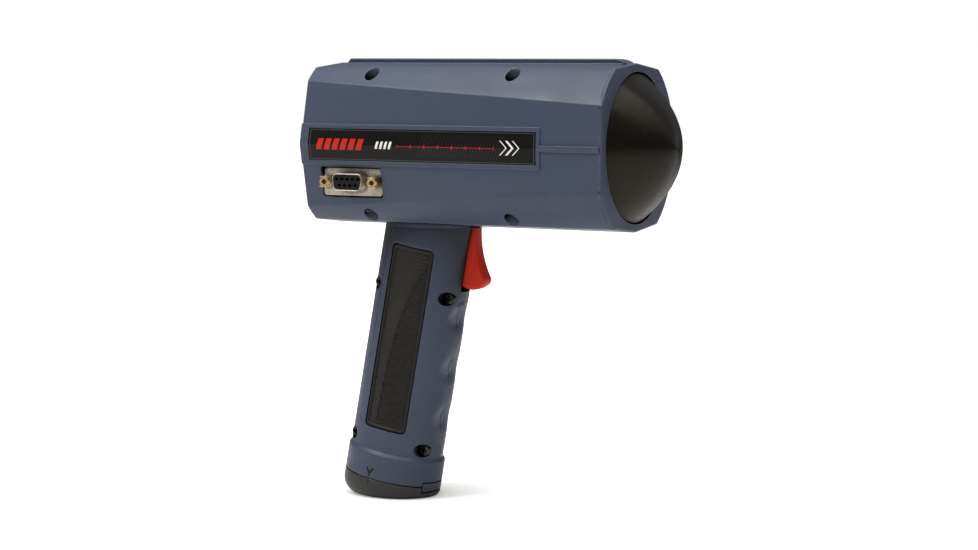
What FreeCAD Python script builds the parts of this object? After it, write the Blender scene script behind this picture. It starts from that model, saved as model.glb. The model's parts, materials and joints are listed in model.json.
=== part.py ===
import FreeCAD, Part
import Sketcher
import math
import os
import re
from FreeCAD import Placement, Rotation, Vector

# Hand-held speed radar gun, in millimetres. +X is the muzzle, +Y the left side and +Z is up.
# The origin is the middle of the flat face that the gun stands on.
# Two local frames carry every piece:
#   barrel frame: x from the rear rim towards the muzzle, z = 0 on the parting plane of the shells
#   grip frame:   z up along the raked handle, z = 0 on the seam above the base cap
os.makedirs("parts", exist_ok=True)
doc = FreeCAD.newDocument("SpeedRadarGun")
sheet = doc.addObject("Spreadsheet::Sheet", "Sizes")

SIZES = {
    # Where the two local frames stand
    "barrel_rear": -27.25,
    "barrel_height": 164.7,
    "grip_foot_x": 1.65,
    "grip_foot_z": 9.3,
    "grip_rake": 10.0,
    # Barrel section: a round body with folded sides and a shallow roof, the same above and
    # below; the fold of the sides fades out towards the muzzle
    "gun_length": 151.9,
    "barrel_radius": 42.1,
    "half_width": 37.0,
    "half_width_front": 37.6,
    "half_height": 37.4,
    "side_fall": 0.22,
    "roof_fall": 0.1025,
    "wall": 2.2,
    "ring_thickness": 1.4,
    "ring_round": 1.0,
    "spigot_length": 4.0,
    "spigot_radius": 34.8,
    # Raised pad round the side label, the thin ridge ahead of it and the sight rail
    "raise": 0.7,
    "pad_end": 122.2,
    "pad_half_height": 9.3,
    "ridge_half_height": 1.4,
    "label_start": 4.4,
    "label_end": 120.4,
    "label_half_height": 7.2,
    "label_thickness": 0.4,
    "label_sink": 0.2,
    "rail_half_width": 5.0,
    "rail_start": 5.5,
    "rail_end": 148.0,
    "rail_top": 39.3,
    "rail_nose": 6.2,
    "rail_nose_drop": 1.9,
    # Case screws: two pairs of columns, reached from above and from below
    "column_rear": 32.0,
    "column_front": 103.5,
    "column_side": 27.0,
    "column_radius": 4.6,
    "counterbore_radius": 3.15,
    "seat_rear": 21.0,
    "seat_front": 25.2,
    "low_seat_rear": 28.6,
    "low_seat_front": 25.6,
    "lug_depth": 9.5,
    "screw_radius": 1.5,
    "screw_clearance": 1.7,
    "low_screw_rear": 5.5,
    "low_screw_front": 8.0,
    "insert_grip": 4.2,
    "web_share": 0.7,
    "head_radius": 2.75,
    "head_height": 2.0,
    "insert_radius": 2.3,
    "insert_length": 6.0,
    # Lens, gasket and antenna
    "lens_radius": 32.95,
    "lens_opening": 33.74,
    "lens_back": 148.0,
    "lens_edge": 151.4,
    "lens_apex": 170.8,
    "gasket_inner": 29.0,
    "gasket_thickness": 1.2,
    "horn_mouth": 146.8,
    "horn_mouth_radius": 30.0,
    "horn_throat": 84.5,
    "horn_throat_radius": 8.0,
    "horn_wall": 1.2,
    "horn_lip": 1.5,
    "horn_lip_radius": 32.6,
    "flange_radius": 13.0,
    "flange_thickness": 3.0,
    "module_length": 26.0,
    "module_half": 13.0,
    "bracket_start": 101.0,
    "bracket_thickness": 5.0,
    "bracket_half": 20.0,
    "bracket_gap": 0.1,
    # Chassis plate and main board
    "chassis_tab": 28.4,
    "chassis_waist": 25.0,
    "chassis_arm": 7.0,
    "chassis_start": 24.0,
    "chassis_step": 84.0,
    "chassis_rise": 90.0,
    "chassis_end": 107.5,
    "chassis_low": 26.4,
    "chassis_high": 20.0,
    "chassis_thickness": 2.0,
    "board_start": 26.0,
    "board_length": 56.0,
    "board_half": 18.0,
    "board_top": 19.9,
    "board_thickness": 1.6,
    "shield_start": 42.0,
    "shield_length": 28.0,
    "shield_half": 13.0,
    "shield_height": 4.0,
    "spacer_radius": 2.5,
    "board_inset": 4.0,
    "board_screw_length": 3.6,
    "board_hole": 1.4,
    "shield_wall": 0.5,
    "small_screw_radius": 1.2,
    "screw_slack": 0.1,
    "small_head_radius": 2.2,
    "small_head_height": 1.4,
    "speaker_x": 119.0,
    "speaker_radius": 10.5,
    "speaker_base": 33.2,
    "speaker_height": 5.0,
    "speaker_hole": 0.8,
    "speaker_hole_pitch": 4.0,
    # Rear panel, display and keys
    "panel_start": 1.2,
    "panel_thickness": 3.0,
    "panel_gap": 0.1,
    "slip": 0.1,
    "window_half_width": 24.0,
    "window_bottom": -2.0,
    "window_height": 26.0,
    "window_thickness": 1.5,
    "view_margin": 3.0,
    "display_depth": 4.2,
    "rear_board_start": 9.0,
    "rear_board_half": 24.0,
    "key_width": 12.0,
    "key_height": 7.0,
    "key_gap": 0.4,
    "key_proud": 0.8,
    "key_pitch_y": 16.0,
    "key_row_upper": -12.0,
    "key_row_lower": -22.5,
    "key_flange": 1.0,
    "mat_start": 6.5,
    "mat_thickness": 1.0,
    "rear_screw_y": 28.2,
    "rear_screw_z": 15.0,
    "rear_boss_radius": 3.0,
    "rear_boss_end": 9.2,
    "rear_web": 3.0,
    "rear_screw_length": 5.6,
    "rear_screw_seat": 2.6,
    "rear_screw_pocket": 2.6,
    # Nine-way D-shaped data socket on the right side
    "port_x": 25.6,
    "port_z": -17.0,
    "port_flange_width": 30.81,
    "port_flange_height": 12.55,
    "port_flange_thickness": 0.8,
    "port_face": 32.4,
    "port_margin": 0.45,
    "port_floor_below": 2.0,
    "port_floor_above": 2.0,
    "port_floor_skirt": 1.0,
    "port_floor_lap": 1.4,
    "port_flange_corner": 1.6,
    "port_flange_hole": 1.62,
    "port_collar_corner": 2.4,
    "port_fit": 0.1,
    "port_insert_setback": 0.3,
    "port_shell_width": 16.33,
    "port_shell_height": 7.9,
    "port_shell_length": 6.0,
    "port_shell_wall": 0.5,
    "port_slant": 10.0,
    "port_body_depth": 8.0,
    "port_body_half_x": 9.7,
    "port_body_half_z": 5.4,
    "port_body_gap": 0.2,
    "jackscrew_pitch": 24.99,
    "jackscrew_flats": 4.8,
    "jackscrew_length": 5.4,
    "jackscrew_bore": 1.15,
    "jackscrew_bore_depth": 5.0,
    "jackscrew_stud": 1.6,
    "jackscrew_stud_length": 5.0,
    "jackscrew_hole": 1.7,
    "jackscrew_round": 1.1,
    "contact_pitch": 2.77,
    "contact_rows": 2.84,
    "contact_radius": 0.75,
    "contact_bore": 0.5,
    "contact_bore_depth": 6.0,
    "contact_setback": 1.2,
    "contact_slack": 0.03,
    "contact_tail_radius": 0.4,
    "contact_tail": 3.0,
    # Handle: oval grip, finger scallops and the wider collar at its foot
    "grip_a": 22.6,
    "grip_b": 18.2,
    "grip_centre": -0.4,
    "grip_wall": 3.0,
    "grip_top": 135.0,
    "collar_a": 23.7,
    "collar_b": 19.7,
    "collar_centre": -0.2,
    "collar_height": 11.6,
    "collar_taper": 1.6,
    "scallop_depth": 2.7,
    "scallop_pitch": 24.0,
    "scallop_first": 32.0,
    "scallop_land": 0.9,
    "insert_low": 23.5,
    "insert_high": 110.3,
    "insert_rear": -10.7,
    "insert_front": 10.7,
    "insert_corner": 2.2,
    "insert_pocket": 1.7,
    "insert_sink": 0.3,
    "grip_screw_front": 18.0,
    "grip_screw_rear": -18.6,
    "grip_screw_high": 89.3,
    "grip_screw_low": 17.0,
    "grip_screw_pocket": 3.1,
    "grip_screw_seat": 6.5,
    "grip_boss_radius": 3.4,
    "neck_x": 49.0,
    "neck_half_x": 15.0,
    "neck_half_y": 11.0,
    "neck_wall": 2.6,
    "neck_corner": 4.0,
    "neck_fit": 0.05,
    "neck_foot": -50.0,
    "lip_half_x": 18.0,
    "lip_half_y": 14.0,
    "lip_top": -31.2,
    "lip_base": -33.5,
    # Trigger and its switch
    "trigger_half_width": 3.8,
    "arm_low": 97.4,
    "arm_top": 120.6,
    "brow_x": 23.5,
    "brow_z": 123.4,
    "belly_x": 26.0,
    "belly_z": 113.2,
    "tip_x": 33.2,
    "tip_z": 100.6,
    "keel_x": 29.2,
    "keel_z": 96.0,
    "heel_x": 22.4,
    "heel_z": 95.1,
    "trigger_tip_round": 3.0,
    "trigger_round": 1.6,
    "slot_half_width": 4.3,
    "slot_low": 93.0,
    "pivot_x": 17.5,
    "pivot_z": 116.5,
    "pivot_radius": 1.5,
    "pivot_bore": 1.55,
    "pivot_boss": 3.6,
    "pin_half_length": 8.0,
    "spring_slot": 2.3,
    "spring_room": 4.0,
    "spring_turns": 5.0,
    "spring_gap": 0.06,
    "spring_radius": 2.35,
    "spring_wire": 0.35,
    "switch_rear": -8.0,
    "switch_front": 8.0,
    "switch_low": 97.0,
    "switch_height": 10.5,
    "switch_half_width": 5.0,
    "plunger_z": 101.0,
    "plunger_radius": 2.0,
    "plunger_gap": 0.4,
    "plunger_rear": 4.6,
    "plunger_tip": 12.2,
    "plunger_bore_end": 1.2,
    "shelf_high": 94.6,
    "shelf_low": 85.7,
    "shelf_thickness": 2.0,
    "lead_way": 5.0,
    # Battery, its cap and the front latch
    "case_radius": 14.0,
    "case_wall": 0.9,
    "case_top": 75.0,
    "case_low": 1.5,
    "cell_radius": 12.9,
    "cell_length": 35.0,
    "cell_low": 3.0,
    "contact_board_radius": 13.0,
    "contact_board_top": 85.7,
    "contact_board_thickness": 1.6,
    "contact_pin_radius": 1.2,
    "contact_pin_tip": 76.2,
    "contact_spread": 7.0,
    "contact_pad_radius": 3.0,
    "contact_pad_height": 0.8,
    "seam_gap": 0.35,
    "cap_round_rear": 8.0,
    "cap_round_front": 2.4,
    "plug_gap": 0.5,
    "plug_top": 5.5,
    "seal_wire": 0.6,
    "seal_level": 3.6,
    "seal_depth": 0.7,
    "latch_half_width": 8.8,
    "latch_inner": 19.3,
    "latch_top": 1.7,
    "latch_foot": 3.1,
    "latch_gap": 0.45,
    "latch_travel": 1.4,
    "leaf_thickness": 0.4,
}

for row, (alias, value) in enumerate(SIZES.items(), start=1):
    sheet.set("A%d" % row, alias.replace("_", " "))
    sheet.set("B%d" % row, str(value))
    sheet.setAlias("B%d" % row, alias)
doc.recompute()

ALIAS = re.compile(r"\b(" + "|".join(sorted(SIZES, key=len, reverse=True)) + r")\b")
RIGHT, LEFT = -1, 1
nodes = []


def size(alias):
    """Value of one cell of the sheet, in millimetres (falls are plain ratios)."""
    return float(sheet.get(alias))


def formula(text):
    """Expression text with every alias written as a cell of the sheet."""
    return ALIAS.sub(r"Sizes.\1", text)


def value_of(text):
    """Number that an expression text gives."""
    result = sheet.evalExpression(formula(text))
    return float(getattr(result, "Value", result))


BARREL = Placement(Vector(size("barrel_rear"), 0, size("barrel_height")), Rotation())
GRIP = Placement(
    Vector(size("grip_foot_x"), 0, size("grip_foot_z")),
    Rotation(Vector(0, 1, 0), size("grip_rake")),
)


def bind(item, **texts):
    """Bind properties of a document object to expressions."""
    for name, text in texts.items():
        item.setExpression(name.replace("__", "."), formula(text))


def node(item, label, frame):
    """Give a finished sub-part its label and its frame, and list it for export."""
    item.Label = label
    item.Placement = frame
    nodes.append(item)
    return item


def shape_node(shape, label, frame):
    """Sub-part whose shape is worked out with Part's own functions."""
    item = doc.addObject("Part::Feature", label)
    item.Shape = shape
    return node(item, label, frame)


# ---------------------------------------------------------------- primitives with bound sizes
def block(name, x, y, z, length, width, height):
    """Part::Box from its lowest corner and its three sides, all given as expressions."""
    item = doc.addObject("Part::Box", name)
    bind(item, Placement__Base__x=x, Placement__Base__y=y, Placement__Base__z=z)
    bind(item, Length=length, Width=width, Height=height)
    return item


TURNS = {
    "x": Rotation(Vector(0, 1, 0), 90),
    "y": Rotation(Vector(1, 0, 0), -90),
    "z": Rotation(),
}


def rod(name, axis, x, y, z, radius, length):
    """Part::Cylinder that starts at a point and runs along +x, +y or +z."""
    item = doc.addObject("Part::Cylinder", name)
    item.Placement = Placement(Vector(), TURNS[axis])
    bind(item, Placement__Base__x=x, Placement__Base__y=y, Placement__Base__z=z)
    bind(item, Radius=radius, Height=length)
    return item


def cut(name, base, tool):
    """Part::Cut of one object from another."""
    item = doc.addObject("Part::Cut", name)
    item.Base = base
    item.Tool = tool
    return item


def group(name, pieces):
    """Part::Compound of separate solids, such as identical fasteners."""
    item = doc.addObject("Part::Compound", name)
    item.Links = pieces
    return item


def alone(primitive, label, frame):
    """Sub-part made of one primitive, carried by its local frame."""
    return node(group(label + "_carrier", [primitive]), label, frame)


# ---------------------------------------------------------------- sketched bodies
def origin_plane(body, role):
    """One of the body's own origin planes, found by its role."""
    return next(item for item in body.Origin.OriginFeatures if item.Role == role)


def sketch_on(body, role, level=None):
    """Sketch on an origin plane of its body, lifted along the plane's normal by an expression."""
    sketch = body.newObject("Sketcher::SketchObject", body.Name + "_sketch")
    sketch.AttachmentSupport = (origin_plane(body, role), [""])
    sketch.MapMode = "FlatFace"
    if level is not None:
        bind(sketch, AttachmentOffset__Base__z=level)
    return sketch


def pin_point(sketch, edge, end, axis, text):
    """Hold one end of an edge at a distance from the sketch's origin along an axis."""
    if abs(value_of(text)) < 1e-9:
        other_axis = {"X": -2, "Y": -1}[axis]
        sketch.addConstraint(Sketcher.Constraint("PointOnObject", edge, end, other_axis))
        return
    kind = {"X": "DistanceX", "Y": "DistanceY"}[axis]
    index = sketch.addConstraint(Sketcher.Constraint(kind, -1, 1, edge, end, value_of(text)))
    sketch.setExpression("Constraints[%d]" % index, formula(text))


def outline(sketch, corners):
    """Closed outline of straight lines through corners given as pairs of expressions."""
    points = [Vector(value_of(x), value_of(y), 0) for x, y in corners]
    for start, end in zip(points, points[1:] + points[:1]):
        sketch.addGeometry(Part.LineSegment(start, end), False)
    count = len(points)
    for edge in range(count):
        sketch.addConstraint(Sketcher.Constraint("Coincident", edge, 2, (edge + 1) % count, 1))
    for edge, (x, y) in enumerate(corners):
        pin_point(sketch, edge, 1, "X", x)
        pin_point(sketch, edge, 1, "Y", y)


def circle(sketch, x, y, radius):
    """Circle held by its centre and its radius."""
    centre = Vector(value_of(x), value_of(y), 0)
    edge = sketch.addGeometry(Part.Circle(centre, Vector(0, 0, 1), value_of(radius)), False)
    pin_point(sketch, edge, 3, "X", x)
    pin_point(sketch, edge, 3, "Y", y)
    index = sketch.addConstraint(Sketcher.Constraint("Radius", edge, value_of(radius)))
    sketch.setExpression("Constraints[%d]" % index, formula(radius))


def rectangle(sketch, x, y, half_x, half_y):
    """Rectangle given by its centre and its half sides."""
    left, right = "(%s) - (%s)" % (x, half_x), "(%s) + (%s)" % (x, half_x)
    low, high = "(%s) - (%s)" % (y, half_y), "(%s) + (%s)" % (y, half_y)
    outline(sketch, [(left, low), (right, low), (right, high), (left, high)])


def new_body(name):
    """Empty PartDesign body."""
    return doc.addObject("PartDesign::Body", name)


def pad(body, sketch, length, both_ways=False):
    """Pad a sketch along its normal, or half each way."""
    feature = body.newObject("PartDesign::Pad", body.Name + "_pad")
    feature.Profile = sketch
    feature.Midplane = both_ways
    bind(feature, Length=length)
    sketch.Visibility = False
    return feature


def pocket(body, sketch, length, reverse=False):
    """Pocket a sketch against its normal; the volume must fall."""
    doc.recompute()
    before = body.Shape.Volume
    feature = body.newObject("PartDesign::Pocket", body.Name + "_pocket")
    feature.Profile = sketch
    feature.Reversed = reverse
    bind(feature, Length=length)
    doc.recompute()
    if body.Shape.Volume >= before - 1e-6:
        raise RuntimeError("pocket cuts nothing in " + body.Name)
    return feature


def turned(name, corners):
    """Body turned about the local x axis from an outline of (x, radius) corners."""
    body = new_body(name)
    sketch = sketch_on(body, "XY_Plane")
    outline(sketch, corners)
    feature = body.newObject("PartDesign::Revolution", name + "_turn")
    feature.Profile = sketch
    feature.ReferenceAxis = (sketch, ["H_Axis"])
    feature.Angle = 360
    return body


# ---------------------------------------------------------------- barrel shells
def corners_at(x, depth):
    """Corners of the flats in one quarter of the section at a station, inset by a depth."""
    share = x / size("gun_length")
    fall = size("side_fall") * (1 - share)
    widening = size("half_width_front") - size("half_width")
    ridge = size("half_width") + share * widening - depth * math.hypot(1, fall)
    roof = size("half_height") - depth * math.hypot(1, size("roof_fall"))
    corner = (ridge - fall * roof) / (1 - fall * size("roof_fall"))
    return [(ridge, 0), (corner, roof - size("roof_fall") * corner), (0, roof)]


def section_points(x, depth, station):
    """Whole section as points, going once round the axis."""
    quarter = corners_at(station, depth)
    upper = quarter + [(-y, z) for y, z in reversed(quarter[:-1])]
    lower = [(y, -z) for y, z in reversed(upper[1:-1])]
    return [Vector(x, y, z) for y, z in upper + lower]


def barrel_solid(depth, start, end):
    """Solid of the barrel's section between two stations, inset by a depth."""
    last = size("gun_length")
    first_ring = section_points(start, depth, min(max(start, 0), last))
    second_ring = section_points(end, depth, min(max(end, 0), last))
    count = len(first_ring)
    faces = [Part.Face(Part.makePolygon(ring + ring[:1])) for ring in (first_ring, second_ring)]
    for here in range(count):
        there = (here + 1) % count
        near = Part.makeLine(first_ring[here], first_ring[there])
        far = Part.makeLine(second_ring[here], second_ring[there])
        loop = Part.makePolygon([first_ring[here], first_ring[there], second_ring[there],
                                 second_ring[here], first_ring[here]])
        flat = loop.findPlane(1e-6)
        faces.append(Part.Face(loop) if flat else Part.makeRuledSurface(near, far))
    solid = Part.makeSolid(Part.makeShell(faces))
    solid.fix(1e-6, 1e-6, 1e-6)
    if solid.Volume < 0:
        solid.reverse()
    return solid.common(along(size("barrel_radius") - depth, start, end - start))


def slab(x_range, y_range, z_range):
    """Box between two values on each axis."""
    corner = Vector(x_range[0], y_range[0], z_range[0])
    spans = [high - low for low, high in (x_range, y_range, z_range)]
    return Part.makeBox(spans[0], spans[1], spans[2], corner)


def upright(radius, x, y, z_range):
    """Cylinder along z between two levels."""
    low, high = min(z_range), max(z_range)
    return Part.makeCylinder(radius, high - low, Vector(x, y, low), Vector(0, 0, 1))


def along(radius, start, length, y=0, z=0):
    """Cylinder along x from a start, in the barrel frame."""
    return Part.makeCylinder(radius, length, Vector(start, y, z), Vector(1, 0, 0))


def screw_columns():
    """The four (x, y) places of the case screws, with the seat levels above and below."""
    rear = (size("column_rear"), size("seat_rear"), size("low_seat_rear"))
    front = (size("column_front"), size("seat_front"), size("low_seat_front"))
    return [(x, side * size("column_side"), seat, low_seat)
            for x, seat, low_seat in (rear, front) for side in (RIGHT, LEFT)]


def rear_screw_places():
    """The four (y, z) places of the rear panel's screws."""
    return [(y, z) for y in (-size("rear_screw_y"), size("rear_screw_y"))
            for z in (-size("rear_screw_z"), size("rear_screw_z"))]


REACH = 60.0  # further than any piece reaches from its axis
MERGE = 0.5  # how far a rib inside a shell stays under the shell's outer face
SHELL_END = size("gun_length") - size("ring_thickness")


def half_space(half):
    """Large box above (half = 1) or below (half = -1) the parting plane."""
    levels = (0, REACH) if half > 0 else (-REACH, 0)
    return slab((-REACH, 4 * REACH), (-REACH, REACH), levels)


def half_shell(half):
    """Walls of one barrel shell with its share of the raised pad and of the thin ridge."""
    keep = half_space(half)
    inner = barrel_solid(size("wall"), -1, SHELL_END + 1)
    raised = barrel_solid(-size("raise"), 0, SHELL_END)
    tall = size("pad_half_height")
    thin = size("ridge_half_height")
    border = raised.common(slab((0, size("pad_end")), (-REACH, REACH), (-tall, tall)))
    ridge = raised.common(slab((0, SHELL_END), (-REACH, REACH), (-thin, thin)))
    shell = barrel_solid(0, 0, SHELL_END).fuse([border, ridge]).cut(inner)
    return shell.common(keep).cut(label_band(size("raise"), size("slip") / 2))


def label_band(outer_raise, gap):
    """Folded band of the side label, from the raised pad's face down to the label's back."""
    floor = size("raise") - size("label_sink") - size("label_thickness")
    tall = size("label_half_height") + gap
    ends = (size("label_start") - gap, size("label_end") + gap)
    window = slab(ends, (-REACH, REACH), (-tall, tall))
    outer = barrel_solid(-outer_raise - gap, 0, SHELL_END)
    return outer.common(window).cut(barrel_solid(-floor, -1, SHELL_END + 1))


def sight_rail():
    """Low rail along the roof with a slanted tail and a rounded nose."""
    base = size("half_height") - size("wall") / 2
    start, end, top = size("rail_start"), size("rail_end"), size("rail_top")
    run, drop = size("rail_nose"), size("rail_nose_drop")
    half = size("rail_half_width")
    tail = top - size("half_height")
    # The nose arc leaves the rail's top without a kink.
    radius = (run * run + drop * drop) / (2 * drop)
    bend_drop = radius - math.sqrt(radius * radius - run * run / 4)
    points = {
        "low_tail": Vector(start, -half, base),
        "tail": Vector(start, -half, size("half_height") - size("raise")),
        "top_tail": Vector(start + tail, -half, top),
        "top_nose": Vector(end - run, -half, top),
        "bend": Vector(end - run / 2, -half, top - bend_drop),
        "nose": Vector(end, -half, top - drop),
        "low_nose": Vector(end, -half, base),
    }
    edges = [
        Part.makeLine(points["low_tail"], points["tail"]),
        Part.makeLine(points["tail"], points["top_tail"]),
        Part.makeLine(points["top_tail"], points["top_nose"]),
        Part.Arc(points["top_nose"], points["bend"], points["nose"]).toShape(),
        Part.makeLine(points["nose"], points["low_nose"]),
        Part.makeLine(points["low_nose"], points["low_tail"]),
    ]
    rail = Part.Face(Part.Wire(edges)).extrude(Vector(0, 2 * half, 0))
    limit = slab((0, SHELL_END), (-REACH, REACH), (0, REACH))
    return rail.common(limit).cut(barrel_solid(size("wall"), -1, SHELL_END + 1))


def rear_bosses(half):
    """Bosses behind the rear panel that take its screws."""
    start, end = size("panel_start") + size("panel_thickness"), size("rear_boss_end")
    rib = size("rear_web") / 2
    bosses = []
    for y, z in rear_screw_places():
        if z * half > 0:
            boss = along(size("rear_boss_radius"), start, end - start, y, z)
            web_y = math.copysign(size("half_width"), y)
            web = slab((start, end), sorted((y, web_y)), (z - rib, z + rib))
            bore = along(size("small_screw_radius"), start, end, y, z)
            bosses.append(boss.fuse(web).common(barrel_solid(MERGE, 0, SHELL_END)).cut(bore))
    return bosses


def upper_housing_shape():
    """Upper shell: rail, screw columns down to the parting plane and rear bosses."""
    outer = barrel_solid(0, 0, SHELL_END)
    columns = [upright(size("column_radius"), x, y, (0, REACH)).common(outer)
               for x, y, _, _ in screw_columns()]
    shape = half_shell(1).fuse([sight_rail()] + columns + rear_bosses(1))
    for x, y, seat, _ in screw_columns():
        shape = shape.cut(upright(size("counterbore_radius"), x, y, (seat, REACH)))
        shape = shape.cut(upright(size("screw_clearance"), x, y, (-1, seat)))
    return shape.removeSplitter()


def lug(x, y):
    """Lug of the lower shell under an upper screw, tied to the side wall by a web."""
    radius = size("column_radius")
    depth = size("lug_depth")
    web_y = math.copysign(size("half_width"), y)
    rib = radius * size("web_share")
    web = slab((x - rib, x + rib), sorted((y, web_y)), (-depth, 0))
    post = upright(radius, x, y, (-depth, 0)).fuse(web)
    return post.common(barrel_solid(MERGE, 0, SHELL_END))


def port_recess():
    """Pocket in the side wall that the data socket's flange sits in, and its floor."""
    margin = size("port_margin")
    half_x = size("port_flange_width") / 2 + margin
    half_z = size("port_flange_height") / 2 + margin
    back = size("port_face") - size("port_flange_thickness")
    x_range = (size("port_x") - half_x, size("port_x") + half_x)
    z_range = (size("port_z") - half_z, size("port_z") + half_z)
    cutter = slab(x_range, (-REACH, -back), z_range)
    skirt = size("port_floor_skirt")
    floor = slab(
        (x_range[0] - skirt, x_range[1] + skirt),
        (-back - size("port_floor_above"), -back + size("port_floor_below")),
        (z_range[0] - size("port_floor_lap"), z_range[1] + size("port_floor_above")),
    )
    return cutter, floor.common(barrel_solid(MERGE, 0, SHELL_END))


def lower_housing_shape():
    """Lower shell: lugs, short columns, the port's pocket, the handle's opening and spacers."""
    outer = barrel_solid(0, 0, SHELL_END)
    cutter, floor = port_recess()
    lugs = [lug(x, y) for x, y, _, _ in screw_columns()]
    columns = [upright(size("column_radius"), x, y, (-REACH, -top)).common(outer)
               for (x, y, _, _), top in zip(screw_columns(), chassis_levels())]
    shape = half_shell(-1).fuse([floor] + lugs + columns + rear_bosses(-1)).cut(cutter)
    for x, y, _, low_seat in screw_columns():
        levels = (-low_seat - 1, -2 * size("lug_depth"))
        shape = shape.cut(upright(size("counterbore_radius"), x, y, (-REACH, -low_seat)))
        shape = shape.cut(upright(size("screw_clearance"), x, y, levels))
        shape = shape.cut(upright(size("insert_radius"), x, y, (-size("insert_length"), 1)))
    gap = size("port_body_gap")
    body_hole = port_block(size("port_body_half_x") + gap, size("port_body_half_z") + gap,
                           -REACH, -size("port_face") + size("port_body_depth"))
    jack_end = 2 * size("jackscrew_stud_length") - size("port_face")
    jack_holes = [crosswise(size("jackscrew_hole"), x, size("port_z"), -REACH, jack_end)
                  for x in jackscrew_places()]
    fit = size("neck_fit")
    neck = rounded_column(size("neck_half_x") + fit, size("neck_half_y") + fit, size("neck_corner"),
                          -REACH, size("lip_top"))
    pitch = size("speaker_hole_pitch")
    levels = (-REACH, -size("speaker_base"))
    holes = [upright(size("speaker_hole"), size("speaker_x") + pitch * i, pitch * j, levels)
             for i in (-1, 0, 1) for j in (-1, 0, 1)]
    return shape.cut([body_hole, neck] + jack_holes + holes).removeSplitter()


def port_block(half_x, half_z, start, end):
    """Box centred on the data socket, between two values of y."""
    x, z = size("port_x"), size("port_z")
    return slab((x - half_x, x + half_x), (start, end), (z - half_z, z + half_z))


def crosswise(radius, x, z, start, end):
    """Cylinder along y between two values."""
    return Part.makeCylinder(radius, end - start, Vector(x, start, z), Vector(0, 1, 0))


def chassis_levels():
    """Depth below the parting plane of the chassis' underside at each screw column."""
    return [size("chassis_low"), size("chassis_low"), size("chassis_high"), size("chassis_high")]


def jackscrew_places():
    """The two x places of the port's jackscrews."""
    return [size("port_x") + side * size("jackscrew_pitch") / 2 for side in (-1, 1)]


def rounded_column(half_x, half_y, corner, low, high):
    """Upright column with rounded corners at the handle's neck, in the barrel frame."""
    box = slab(
        (size("neck_x") - half_x, size("neck_x") + half_x),
        (-half_y, half_y),
        (low, high),
    )
    edges = [edge for edge in box.Edges if edge.Vertexes[0].X == edge.Vertexes[1].X
             and edge.Vertexes[0].Y == edge.Vertexes[1].Y]
    return box.makeFillet(corner, edges)


def front_ring_shape():
    """One-piece front ring: flat face with a rounded rim, round opening and a short spigot."""
    end = size("gun_length")
    corners = section_points(SHELL_END, 0, SHELL_END)
    thickness = Vector(size("ring_thickness"), 0, 0)
    plate = Part.Face(Part.makePolygon(corners + corners[:1])).extrude(thickness)
    plate = plate.common(along(size("barrel_radius"), SHELL_END, size("ring_thickness")))
    rim = [edge for edge in plate.Edges if abs(edge.BoundBox.XMin - end) < 1e-6]
    plate = plate.makeFillet(size("ring_round"), rim)
    back = SHELL_END - size("spigot_length")
    spigot = along(size("spigot_radius"), back, size("spigot_length"))
    opening = along(size("lens_opening"), back - 1, REACH)
    return plate.fuse(spigot).cut(opening).removeSplitter()


shape_node(upper_housing_shape(), "upper_housing", BARREL)
shape_node(lower_housing_shape(), "lower_housing", BARREL)
shape_node(front_ring_shape(), "front_ring", BARREL)
for side, label in ((RIGHT, "side_label_right"), (LEFT, "side_label_left")):
    band = label_band(size("raise") - size("label_sink"), 0)
    half = slab((-REACH, 4 * REACH), sorted((0, side * REACH)), (-REACH, REACH))
    shape_node(band.common(half), label, BARREL)


# ---------------------------------------------------------------- rear panel, display and keys
def key_places():
    """Name, y and z of each key: three over three."""
    names = [("key_power", "key_mode", "key_light"), ("key_down", "key_menu", "key_up")]
    rows = (size("key_row_upper"), size("key_row_lower"))
    return [(name, column * size("key_pitch_y"), z)
            for row_names, z in zip(names, rows)
            for name, column in zip(row_names, (1, 0, -1))]


def rear_panel_shape():
    """Rear panel inside the shells' rim, with openings for the display and the keys."""
    start = size("panel_start")
    end = start + size("panel_thickness")
    panel = barrel_solid(size("wall") + size("panel_gap"), start, end)
    slip = size("slip")
    seat = slab((0, start + size("window_thickness") + slip), window_span(slip), window_rise(slip))
    margin = size("view_margin")
    view = slab((0, REACH), window_span(-margin), window_rise(-margin))
    cutters = [seat, view]
    gap = size("key_gap")
    for _, y, z in key_places():
        half_y, half_z = size("key_width") / 2 + gap, size("key_height") / 2 + gap
        cutters.append(slab((0, REACH), (y - half_y, y + half_y), (z - half_z, z + half_z)))
    for y, z in rear_screw_places():
        cutters.append(along(size("small_screw_radius") + slip, 0, REACH, y, z))
        cutters.append(along(size("rear_screw_pocket"), 0, size("rear_screw_seat"), y, z))
    return panel.cut(cutters)


def window_span(margin):
    """Left and right limits of the display window, grown by a margin."""
    half = size("window_half_width") + margin
    return -half, half


def window_rise(margin):
    """Low and high limits of the display window, grown by a margin."""
    low = size("window_bottom")
    return low - margin, low + size("window_height") + margin


shape_node(rear_panel_shape(), "rear_panel", BARREL)
alone(block("window_block", "panel_start", "-window_half_width", "window_bottom",
            "window_thickness", "2 * window_half_width", "window_height"), "display_window", BARREL)
alone(block("display_block", "panel_start + panel_thickness + slip", "-window_half_width + 1",
            "window_bottom + 1", "display_depth", "2 * window_half_width - 2", "window_height - 2"),
      "display_module", BARREL)
alone(block("rear_board_block", "rear_board_start", "-rear_board_half", "key_row_lower - key_height",
            "board_thickness", "2 * rear_board_half",
            "window_bottom + window_height - key_row_lower + key_height"),
      "display_board", BARREL)
alone(block("mat_block", "mat_start", "-key_pitch_y - key_width / 2",
            "key_row_lower - key_height / 2", "mat_thickness", "2 * key_pitch_y + key_width",
            "key_row_upper - key_row_lower + key_height"),
      "keypad_mat", BARREL)


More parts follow.
